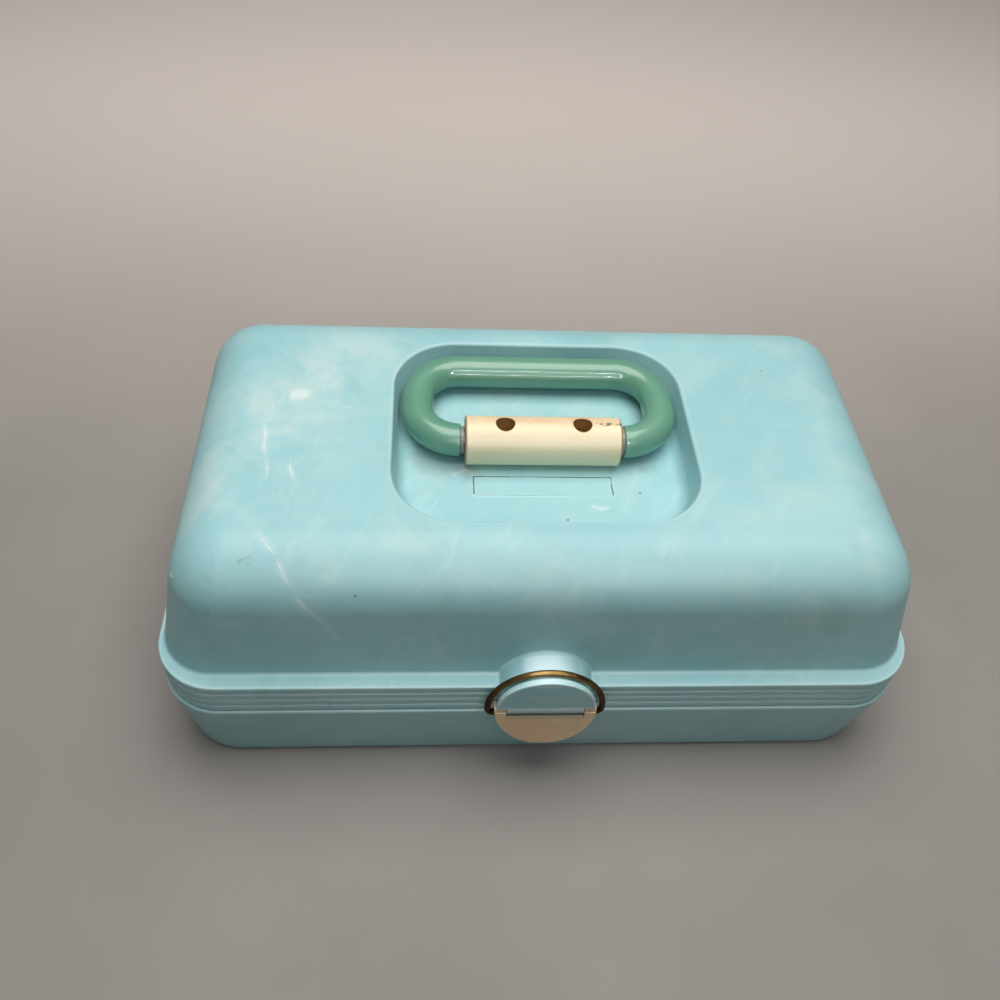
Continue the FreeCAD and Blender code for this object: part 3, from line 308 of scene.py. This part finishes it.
def close_finish(tree, colour, roughness, height, depth, constants=None):
    """Wire the colour, roughness and relief into one surface. Depth is in metres."""
    normal = tree.node("ShaderNodeBump", None, {"Strength": 1.0, "Distance": depth, "Height": height})
    sockets = {"Base Color": colour, "Roughness": roughness, "Normal": normal}
    sockets.update(constants or {})
    surface = tree.node("ShaderNodeBsdfPrincipled", None, sockets)
    tree.node("ShaderNodeOutputMaterial", None, {"Surface": surface})


def edge_mask(tree, radius):
    """1 along edges, 0 on flat faces."""
    rounded = tree.node("ShaderNodeBevel", {"samples": 4}, {"Radius": radius})
    plain = tree.node("ShaderNodeNewGeometry", output="Normal")
    return (1 - rounded.vector("DOT_PRODUCT", plain, "Value")).rise(0.01, 0.12)


def corner_mask(tree, reach):
    """1 deep in corners and grooves of the same piece, 0 in the open."""
    shade = tree.node("ShaderNodeAmbientOcclusion", {"samples": 6, "only_local": True},
                      {"Distance": reach}, "AO")
    return 1 - shade


def hairlines(place, angle):
    """Sparse thin scratches that run one way."""
    along = place.sized(HAIR_SIZE, (0.0, 0.0, math.radians(angle)))
    return along.noise(1.0, 1.0).rise(0.71, 0.78) * place.noise(20.0, 2.0).rise(0.5, 0.62)


def shell_plastic():
    """Pale aqua moulded plastic: clouded, scuffed and scratched; edges paler with wear and painted highlight;
    painted shade in corners and along the panel line; painted highlights on the knuckle and the hood.
    """
    finish, tree, place = start_finish("shell_plastic")
    cloud = place.noise(7.0, 5.0, 0.6, 0.5)
    mottle = place.noise(30.0, 6.0, 0.68, 0.4)
    fine = place.noise(120.0, 4.0, 0.65)
    colour = tree.mix(linear(154, 203, 209), linear(168, 213, 216), cloud.rise(0.34, 0.66))
    colour = colour.blend(linear(190, 217, 212), mottle.rise(0.46, 0.74) * 0.5)
    colour = colour.blend(linear(143, 187, 187), place.noise(15.0, 6.0, 0.7, 0.8).rise(0.5, 0.72) * 0.42)
    wiped = place.sized(WIPE_SIZE, (0.0, 0.0, math.radians(62))).noise(1.0, 5.0, 0.68, 0.6)
    colour = colour.blend(linear(194, 223, 221), wiped.rise(0.54, 0.72) * 0.35)

    front_rub = place.gap_to(on_lid(FRONT_RUB_PIXELS)).rise(*FRONT_RUB_REACH)
    haze = place.gap_to(on_lid(HAZE_PIXELS)).rise(*HAZE_REACH).larger(front_rub * 0.4)
    haze = haze * mottle.rise(0.4, 0.6)
    colour = colour.blend(linear(214, 229, 224), haze * 0.5)
    hair = hairlines(place, 75).larger(hairlines(place, 110)).larger(hairlines(place, 20))
    wave = place.noise(90.0, 2.0, output="Color").vector("MULTIPLY", (STROKE_WAVE,) * 3)
    wavy = place.vector("ADD", wave).vector("SUBTRACT", (STROKE_WAVE / 2,) * 3)
    long_gap = wavy.gap_to(on_lid(LONG_SCRATCH_PIXELS))
    scored = long_gap.rise(*SCRATCH_CORE) * 0.6 + long_gap.rise(*LONG_SCRATCH_HALO) * 0.35
    for pixels in (LEFT_SCRATCH_PIXELS, SHORT_SCRATCH_PIXELS,
                   WELL_SCUFF_LEFT_PIXELS, WELL_SCUFF_RIGHT_PIXELS):
        gap = wavy.gap_to(on_lid(pixels))
        scored = scored.larger(gap.rise(*SCRATCH_CORE) * 0.55 + gap.rise(*SCRATCH_HALO) * 0.35)
    scored = scored * fine.rise(0.34, 0.54)
    blotch = wavy.gap_to(on_lid(BLOTCH_PIXELS)).rise(*BLOTCH_REACH) * fine.rise(0.42, 0.58)
    blotch = blotch.larger(wavy.gap_to(on_lid(WHITE_SPECK_PIXELS)).rise(*WHITE_SPECK_REACH))
    white = scored.larger(blotch).larger(hair * 0.4)
    colour = colour.blend(linear(226, 236, 233), white * 0.75)

    # Paler along edges: edge wear and painted highlight on the rounded ribs, shoulder and lips.
    edge = edge_mask(tree, radius=0.0025) * mottle.rise(0.15, 0.5)
    colour = colour.blend(linear(222, 242, 242), edge * 0.8)
    # Painted shade: darker deep in corners and grooves, from the occlusion of the piece itself.
    corner = corner_mask(tree, reach=0.004).rise(0.42, 0.86) * (0.55 + mottle * 0.6)
    colour = colour.blend(linear(62, 78, 76), corner * 0.5)
    x, y, z = (place.axis(name) for name in "XYZ")
    # Painted shadow along the top and sides of the sunk panel line, and a painted highlight along its bottom
    # that cancels its shade.
    line = z.rise(PANEL_LINE_Z, PANEL_LINE_Z - PANEL_LINE_FADE)
    line = line * abs(x).rise(PANEL_HALF_LONG + PANEL_EDGE_FADE, PANEL_HALF_LONG)
    line = line * abs(y - PANEL_Y).rise(PANEL_HALF_TALL + PANEL_EDGE_FADE, PANEL_HALF_TALL)
    line = line * z.rise(*PANEL_LINE_LOW)
    panel_shadow_side = y.rise(PANEL_Y - PANEL_LIT_EDGE, PANEL_Y - PANEL_SHADED_EDGE)
    colour = colour.blend(linear(92, 122, 122), line * panel_shadow_side * fine.rise(0.3, 0.55))
    colour = colour.blend(linear(206, 234, 236), line * (1 - panel_shadow_side))
    # Painted highlight along the top front edge of the knuckle, with lower roughness there.
    knuckle = z.rise(*KNUCKLE_LOW) * z.rise(*KNUCKLE_HIGH) * y.rise(*KNUCKLE_FRONT)
    knuckle = knuckle * abs(x).rise(SLOT_HALF, SLOT_HALF - SLOT_FADE)
    colour = colour.blend(linear(244, 250, 248), knuckle)
    # Painted highlight on the top of the hood over the latch.
    hood = z.rise(*HOOD_LOW) * z.rise(*HOOD_HIGH) * y.rise(*HOOD_BACK)
    hood = hood * place.gap_to(on_lid(HOOD_HIGHLIGHT_PIXELS)).rise(*HOOD_HIGHLIGHT_REACH)
    colour = colour.blend(linear(222, 248, 252), hood * 0.9)

    grime = wavy.gap_to(on_lid(WELL_GRIME_LEFT_PIXELS)).rise(*GRIME_LEFT_REACH)
    grime = grime.larger(wavy.gap_to(on_lid(WELL_GRIME_RIGHT_PIXELS)).rise(*GRIME_RIGHT_REACH))
    smudge = wavy.gap_to(on_lid(SMUDGE_PIXELS)).rise(*SMUDGE_REACH) * fine.rise(0.4, 0.55)
    grime = (grime * mottle.rise(0.4, 0.6)).larger(smudge)
    colour = colour.blend(linear(112, 130, 124), grime * 0.42)
    speck = None
    for spot in on_lid(SPECK_PIXELS):
        here = place.vector("DISTANCE", spot, "Value").rise(*SPECK_REACH)
        speck = here if speck is None else speck.larger(here)
    dust = place.node("ShaderNodeTexVoronoi", None, {"Vector": place, "Scale": 85.0}).rise(0.05, 0.03)
    speck = speck.larger(dust * place.noise(33.0, 0.0).rise(0.6, 0.63) * 0.7)
    colour = colour.blend(linear(58, 62, 58), speck * 0.8)

    rough = 0.36 + cloud * 0.10 + mottle * 0.12 + white * 0.15 + grime * 0.1 - knuckle * 0.22
    height = place.noise(420.0, 2.0) * 0.5 + place.noise(2600.0, 1.0) * 0.25 - scored - hair * 0.4
    close_finish(tree, colour, rough, height, depth=0.00006)
    return finish


def handle_plastic():
    """Glossy seafoam green plastic, rubbed by the hand, with a worn grey neck at each end, and painted shade
    on the low part of its tube and in its corners.
    """
    finish, tree, place = start_finish("handle_plastic")
    cloud = place.noise(24.0, 4.0, 0.6, 0.4)
    mottle = place.noise(90.0, 4.0, 0.6)
    colour = tree.mix(linear(104, 158, 134), linear(115, 168, 143), cloud.rise(0.3, 0.7))
    # Painted shade: the low part of the tube darker and bluer.
    colour = colour.blend(linear(84, 154, 142), place.axis("Z").rise(*TUBE_SHADE_LOW) * 0.75)
    colour = colour.blend(linear(136, 182, 158), mottle.rise(0.55, 0.8) * 0.3)
    hair = hairlines(place, 10).larger(hairlines(place, 95))
    colour = colour.blend(linear(168, 204, 188), hair * 0.35)
    neck = abs(place.axis("X")).rise(*NECK_END) * place.axis("Y").rise(*NECK_BACK)
    colour = colour.blend(linear(146, 148, 140), neck)
    # Painted shade deep in corners.
    colour = colour.blend(linear(48, 58, 50), corner_mask(tree, reach=0.002).rise(0.5, 0.9) * 0.6)
    rough = 0.28 + cloud * 0.06 + mottle * 0.05 + hair * 0.2 + neck * 0.3
    height = place.noise(170.0, 2.0) * 0.5 - hair * 0.4
    coat = {"Coat Weight": 0.5, "Coat Roughness": 0.03, "IOR": 1.5}
    close_finish(tree, colour, rough, height, depth=0.00003, constants=coat)
    return finish


def bar_cream():
    """Satin cream plastic of the handle bar, rubbed brown along its top, with painted shade inside its holes.
    """
    low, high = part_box("handle_bar")
    finish, tree, place = start_finish("bar_cream")
    cloud = place.noise(45.0, 5.0, 0.62, 0.4)
    fine = place.noise(520.0, 5.0, 0.7)
    x, y = place.axis("X"), place.axis("Y")
    colour = tree.mix(linear(247, 226, 184), linear(252, 234, 197), cloud.rise(0.32, 0.68))
    ridge = y - (low.y + high.y) / 2
    rub = ridge.rise(*BAR_RUB_FRONT) * ridge.rise(*BAR_RUB_BACK)
    rub = rub * place.noise(150.0, 4.0, 0.7).rise(0.34, 0.6)
    colour = colour.blend(linear(236, 190, 152), rub * 0.6)
    flecks = abs(ridge).rise(*BAR_FLECK_REACH) * x.rise(*BAR_FLECK_FROM) * fine.rise(0.44, 0.56)
    colour = colour.blend(linear(110, 72, 42), flecks.larger(rub * fine.rise(0.62, 0.7) * 0.4) * 0.85)
    end = abs(x).rise(high.x - BAR_END_FROM, high.x - BAR_END_FULL)
    colour = colour.blend(linear(150, 104, 66), end * 0.75)
    # Painted shade: brown inside the screw holes.
    across = (abs(x) - BAR_HOLE_SPACE / 2) * (abs(x) - BAR_HOLE_SPACE / 2)
    rim = (BAR_HOLE_RADIUS + BAR_HOLE_EDGE) ** 2
    hole = (across + ridge * ridge).rise(rim, BAR_HOLE_RADIUS ** 2 * 1.01)
    colour = colour.blend(linear(172, 126, 68), hole * 0.95)
    rough = 0.34 + cloud * 0.14 + hole * 0.2
    close_finish(tree, colour, rough, place.noise(420.0, 3.0) * 0.6 + fine * 0.3, depth=0.00004)
    return finish


def lever_cream():
    """Yellowed cream plastic of the latch lever, darker with handling and pale along its edges, with painted
    shade in its corners and in its slot.
    """
    finish, tree, place = start_finish("lever_cream")
    cloud = place.noise(55.0, 5.0, 0.62, 0.4)
    fine = place.noise(420.0, 4.0, 0.65)
    colour = tree.mix(linear(219, 186, 148), linear(230, 201, 164), cloud.rise(0.3, 0.7))
    colour = colour.blend(linear(182, 146, 108), fine.rise(0.55, 0.75) * 0.35)
    colour = colour.blend(linear(246, 226, 190), edge_mask(tree, radius=0.0008) * cloud.rise(0.3, 0.55) * 0.7)
    # Painted shade deep in corners.
    colour = colour.blend(linear(70, 54, 38), corner_mask(tree, reach=0.002).rise(0.45, 0.9) * 0.7)
    hair = hairlines(place, 0).larger(hairlines(place, 60))
    colour = colour.blend(linear(244, 228, 200), hair * 0.4)
    x, y, z = (place.axis(name) for name in "XYZ")
    # Painted shade: the ledge in the slot darker, and its back part grey-green as the shadow of the gap.
    slot = abs(x).rise(SLOT_HALF + SLOT_SIDE_FADE, SLOT_HALF)
    slot = slot * z.rise(SLOT_LOW - SLOT_FADE, SLOT_LOW) * z.rise(SLOT_HIGH, SLOT_HIGH - SLOT_FADE)
    colour = colour.blend(linear(176, 156, 128), slot)
    shade = slot * y.rise(SLOT_SHADE - SLOT_FADE, SLOT_SHADE + SLOT_FADE)
    colour = colour.blend(linear(112, 114, 98), shade * 0.92)
    rough = 0.36 + cloud * 0.16 + slot * 0.2
    close_finish(tree, colour, rough, place.noise(420.0, 3.0) - hair * 0.5, depth=0.00004)
    return finish


def cream_moulding(name, dark, light):
    """Satin cream plastic of the small inside pieces, with painted shade in their corners."""
    finish, tree, place = start_finish(name)
    cloud = place.noise(40.0, 5.0, 0.62, 0.4)
    colour = tree.mix(dark, light, cloud.rise(0.3, 0.7))
    colour = colour.blend(linear(206, 184, 148), place.noise(160.0, 4.0, 0.65).rise(0.56, 0.74) * 0.3)
    # Painted shade deep in corners.
    colour = colour.blend(linear(120, 102, 76), corner_mask(tree, reach=0.002).rise(0.5, 0.9) * 0.5)
    hair = hairlines(place, 15).larger(hairlines(place, 80))
    colour = colour.blend(linear(250, 240, 222), hair * 0.4)
    rough = 0.36 + cloud * 0.14
    close_finish(tree, colour, rough, place.noise(420.0, 3.0) - hair * 0.4, depth=0.00004)
    return finish


def brass(name, dark, bright, low, high):
    """Aged brass: brown patina, rubbed back to bright metal towards the higher of two heights."""
    finish, tree, place = start_finish(name)
    patina = place.noise(160.0, 5.0, 0.65, 0.5)
    rubbed = place.axis("Z").rise(low, high)
    colour = tree.mix(dark, bright, rubbed * 0.7 + patina.rise(0.4, 0.72) * 0.3)
    colour = colour.blend(linear(34, 24, 14), place.noise(420.0, 4.0, 0.7).rise(0.52, 0.68) * 0.6)
    rough = 0.26 + patina.rise(0.7, 0.3) * 0.26
    close_finish(tree, colour, rough, place.noise(900.0, 3.0), depth=0.00003, constants={"Metallic": 1.0})
    return finish


def steel():
    """Plain plated steel, with drawn grain and dull spots."""
    finish, tree, place = start_finish("steel")
    grain = place.sized(GRAIN_SIZE).noise(1.0, 3.0)
    spot = place.noise(90.0, 4.0)
    colour = tree.mix(linear(138, 138, 134), linear(186, 186, 182), spot.rise(0.35, 0.7))
    close_finish(tree, colour, 0.26 + grain * 0.2, grain, depth=0.00002, constants={"Metallic": 1.0})
    return finish


def tray_plastic():
    """Seafoam green plastic of the trays, dusted with powder in its corners, and with painted shade deeper in
    them.
    """
    finish, tree, place = start_finish("tray_plastic")
    cloud = place.noise(18.0, 4.0, 0.6, 0.4)
    powder = place.noise(46.0, 6.0, 0.7, 0.6)
    colour = tree.mix(linear(108, 164, 145), linear(121, 177, 158), cloud.rise(0.3, 0.7))
    corner = corner_mask(tree, reach=0.012)
    colour = colour.blend(linear(206, 188, 168), corner.rise(0.3, 0.8) * powder.rise(0.48, 0.66) * 0.45)
    # Painted shade deep in corners.
    colour = colour.blend(linear(74, 104, 92), corner.rise(0.62, 0.95) * 0.4)
    hair = hairlines(place, 5).larger(hairlines(place, 85))
    colour = colour.blend(linear(176, 212, 198), hair * 0.4)
    rough = 0.26 + cloud * 0.12 + powder * 0.12
    close_finish(tree, colour, rough, place.noise(420.0, 2.0) - hair * 0.4, depth=0.00004)
    return finish


def mirror_silver():
    """Silvered glass with faint wiped smears and dust."""
    finish, tree, place = start_finish("mirror")
    smear = place.sized(SMEAR_SIZE, (0.0, 0.0, math.radians(30))).noise(1.0, 5.0, 0.6, 1.2)
    dust = place.noise(900.0, 2.0).rise(0.66, 0.72)
    colour = tree.mix(linear(222, 228, 228), linear(236, 240, 239), smear.rise(0.4, 0.7))
    colour = colour.blend(linear(196, 198, 194), dust * 0.4)
    rough = 0.01 + smear.rise(0.5, 0.8) * 0.07 + dust * 0.2
    close_finish(tree, colour, rough, smear, depth=0.000002, constants={"Metallic": 1.0})
    return finish


def floor_paper():
    """Pale warm paper under the case, with painted light making it lighter towards the back."""
    finish, tree, place = start_finish("floor_paper")
    tint = place.noise(5.0, 4.0)
    colour = tree.mix(linear(145, 139, 134), linear(152, 146, 141), tint.rise(0.35, 0.65))
    # Painted light: lighter towards the back.
    colour = colour.blend(linear(226, 215, 208), place.axis("Y").rise(*FLOOR_LIGHT_FADE))
    close_finish(tree, colour, 0.85 + tint * 0.05, place.noise(700.0, 3.0), depth=0.00006)
    return finish


_, bail_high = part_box("latch_bail")
screw_low, screw_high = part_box("handle_screws")
finishes = {
    "shell_plastic": shell_plastic(),
    "handle_plastic": handle_plastic(),
    "cream_plastic": lever_cream(),
    "brass_wire": brass("brass_wire", linear(58, 40, 22), linear(150, 120, 76),
                        bail_high.z - BAIL_RUB_FROM, bail_high.z - BAIL_RUB_FULL),
    "brass_screw": brass("brass_screw", linear(92, 64, 28), linear(178, 138, 70),
                         screw_low.z, screw_high.z),
    "steel": steel(),
    "tray_plastic": tray_plastic(),
    "mirror": mirror_silver(),
    "frame_plastic": cream_moulding("frame_plastic", linear(232, 212, 178), linear(243, 226, 196)),
    "link_plastic": cream_moulding("link_plastic", linear(226, 204, 168), linear(238, 218, 184)),
    "pin_plastic": cream_moulding("pin_plastic", linear(220, 198, 162), linear(232, 212, 178)),
}


def select_only(piece):
    """Leave one object selected and active."""
    bpy.ops.object.select_all(action="DESELECT")
    bpy.context.view_layer.objects.active = piece
    piece.select_set(True)


def even_shading(piece, angle=30.0):
    """Smooth shading up to an angle, with flat faces kept flat beside their rounded edges."""
    select_only(piece)
    bpy.ops.object.shade_smooth_by_angle(angle=math.radians(angle))
    weights = piece.modifiers.new("even_shading", "WEIGHTED_NORMAL")
    weights.keep_sharp = True
    bpy.ops.object.modifier_apply(modifier=weights.name)


def stand_for(piece, node, finish):
    """Give a piece its finish, and let it take the place of a CAD node."""
    piece.data.materials.clear()
    piece.data.materials.append(finish)
    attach(piece, bodies[node])
    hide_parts(node)


def moulding(node):
    """Merged and evenly shaded copy of a CAD piece."""
    made = bpy.data.objects.new(f"{node}_moulding", frame["nodes"][node].data.copy())
    bpy.context.scene.collection.objects.link(made)
    select_only(made)
    bpy.ops.mesh.customdata_custom_splitnormals_clear()
    bpy.ops.object.mode_set(mode="EDIT")
    bpy.ops.mesh.select_all(action="SELECT")
    bpy.ops.mesh.remove_doubles(threshold=1e-6)
    bpy.ops.object.mode_set(mode="OBJECT")
    even_shading(made)
    stand_for(made, node, finishes[slots[node]])


def round_rod(name, radius, start, end, sides):
    """Cylinder between two places, with its place in its mesh."""
    bpy.ops.object.select_all(action="DESELECT")
    bpy.ops.mesh.primitive_cylinder_add(vertices=sides, radius=radius, depth=(end - start).length,
                                        location=(start + end) / 2)
    rod = bpy.context.object
    rod.name = name
    rod.rotation_mode = "QUATERNION"
    rod.rotation_quaternion = (end - start).to_track_quat("Z", "Y")
    bpy.ops.object.transform_apply(location=True, rotation=True, scale=True)
    return rod


def drill(piece, tool):
    """Cut one object out of another and remove the tool."""
    select_only(piece)
    cut = piece.modifiers.new("drill", "BOOLEAN")
    cut.operation = "DIFFERENCE"
    cut.solver = "EXACT"
    cut.object = tool
    bpy.ops.object.modifier_apply(modifier=cut.name)
    bpy.data.objects.remove(tool)


def handle_bar():
    """Cream bar: a fine round rod with eased ends, a flat underside, screw holes and end sockets."""
    low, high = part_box("handle_bar")
    radius = (high.y - low.y) / 2
    middle = Vector((0.0, (low.y + high.y) / 2, high.z - radius))
    left, right = middle + Vector((low.x, 0.0, 0.0)), middle + Vector((high.x, 0.0, 0.0))
    bar = round_rod("handle_bar_moulding", radius, left, right, BAR_SIDES)
    select_only(bar)
    bpy.ops.object.mode_set(mode="EDIT")
    bpy.ops.mesh.select_mode(type="EDGE")
    bpy.ops.mesh.select_all(action="DESELECT")
    bpy.ops.object.mode_set(mode="OBJECT")
    for edge in bar.data.edges:
        start, end = (bar.data.vertices[index].co for index in edge.vertices)
        edge.select = abs(start.x - end.x) < BAR_RIM
    bpy.ops.object.mode_set(mode="EDIT")
    bpy.ops.mesh.bevel(offset=BAR_RIM, offset_type="OFFSET", segments=5, affect="EDGES")
    for count in range(1, BAR_SLICES):
        bpy.ops.mesh.select_all(action="SELECT")
        across = low.x + BAR_RIM + (high.x - low.x - 2 * BAR_RIM) * count / BAR_SLICES
        bpy.ops.mesh.bisect(plane_co=(across, 0.0, 0.0), plane_no=(1.0, 0.0, 0.0))
    bpy.ops.mesh.select_all(action="SELECT")
    bpy.ops.mesh.bisect(plane_co=(0.0, 0.0, low.z), plane_no=(0.0, 0.0, 1.0), clear_inner=True, use_fill=True)
    bpy.ops.object.mode_set(mode="OBJECT")
    for side in (-1, 1):
        screw = middle + Vector((side * BAR_HOLE_SPACE / 2, 0.0, 0.0))
        seat = Vector((screw.x, screw.y, high.z - BAR_HOLE_DEEP))
        up = Vector((0.0, 0.0, radius))
        drill(bar, round_rod("hole_tool", BAR_HOLE_RADIUS, seat, seat + 2 * up, HOLE_SIDES))
        drill(bar, round_rod("bore_tool", BAR_BORE_RADIUS, screw - 2 * up, screw + 2 * up, BORE_SIDES))
        end = middle + Vector((side * high.x, 0.0, 0.0))
        depth = Vector((side * BAR_SOCKET_DEEP, 0.0, 0.0))
        drill(bar, round_rod("socket_tool", BAR_SOCKET_RADIUS, end - depth, end + depth, HOLE_SIDES))
    even_shading(bar)
    stand_for(bar, "handle_bar", bar_cream())


handle_bar()
for node in frame["nodes"]:
    if node != "handle_bar":
        moulding(node)


def make_camera():
    """Camera at the photograph's place and angle."""
    right, up, ahead = camera_axes()
    data = bpy.data.cameras.new("photo_camera")
    data.lens = CAMERA_LENS
    data.sensor_width = CAMERA_SENSOR
    data.clip_start = 0.01
    camera = bpy.data.objects.new("photo_camera", data)
    bpy.context.scene.collection.objects.link(camera)
    camera.matrix_world = Matrix.Translation(CAMERA_AT) @ Matrix((right, up, -ahead)).transposed().to_4x4()
    bpy.context.scene.camera = camera


def area_lamp(name, at, turn, size, power, colour):
    """Rectangular lamp that shines along its own -Z and isn't seen itself."""
    data = bpy.data.lights.new(name, "AREA")
    data.shape = "RECTANGLE"
    data.size, data.size_y = size
    data.energy = power
    data.color = colour
    lamp = bpy.data.objects.new(name, data)
    bpy.context.scene.collection.objects.link(lamp)
    lamp.matrix_world = Matrix.Translation(at) @ turn.to_matrix().to_4x4()
    lamp.visible_camera = False
    return lamp


def make_lights():
    """Soft light from above, a low cool one from the front, and a thin ring that only gloss shows."""
    turn = (OVERHEAD_AIM - OVERHEAD_AT).to_track_quat("-Z", "Y")
    area_lamp("overhead_soft", OVERHEAD_AT, turn, OVERHEAD_SIZE, OVERHEAD_POWER, OVERHEAD_COLOUR)
    turn = (FRONT_AIM - FRONT_AT).to_track_quat("-Z", "Y")
    front = area_lamp("front_soft", FRONT_AT, turn, FRONT_SIZE, FRONT_POWER, FRONT_COLOUR)
    front.visible_glossy = False
    facing = (RING_AIM - RING_AT).to_track_quat("-Z", "Y")
    strip = 2 * math.pi * RING_RADIUS / RING_STRIPS
    for count in range(RING_STRIPS):
        spin = Matrix.Rotation(2 * math.pi * count / RING_STRIPS, 3, "Z").to_quaternion()
        at = RING_AT + facing @ (spin @ Vector((0.0, RING_RADIUS, 0.0)))
        lamp = area_lamp(f"ring_strip_{count}", at, facing @ spin, (strip, RING_BAND), RING_POWER,
                         (1.0, 1.0, 1.0))
        lamp.visible_diffuse = False
    world = bpy.data.worlds.new("studio")
    bpy.context.scene.world = world
    world.use_nodes = True
    background = world.node_tree.nodes["Background"]
    background.inputs["Color"].default_value = WORLD_COLOUR
    background.inputs["Strength"].default_value = WORLD_STRENGTH


def make_floor():
    """Pale floor, with painted light towards the back."""
    bpy.ops.object.select_all(action="DESELECT")
    bpy.ops.mesh.primitive_plane_add(size=FLOOR_SIZE, location=(0.0, 0.0, 0.0))
    floor = bpy.context.object
    floor.name = "floor"
    floor.data.materials.append(floor_paper())


make_floor()
make_lights()
make_camera()
bpy.context.scene.view_settings.view_transform = "Standard"
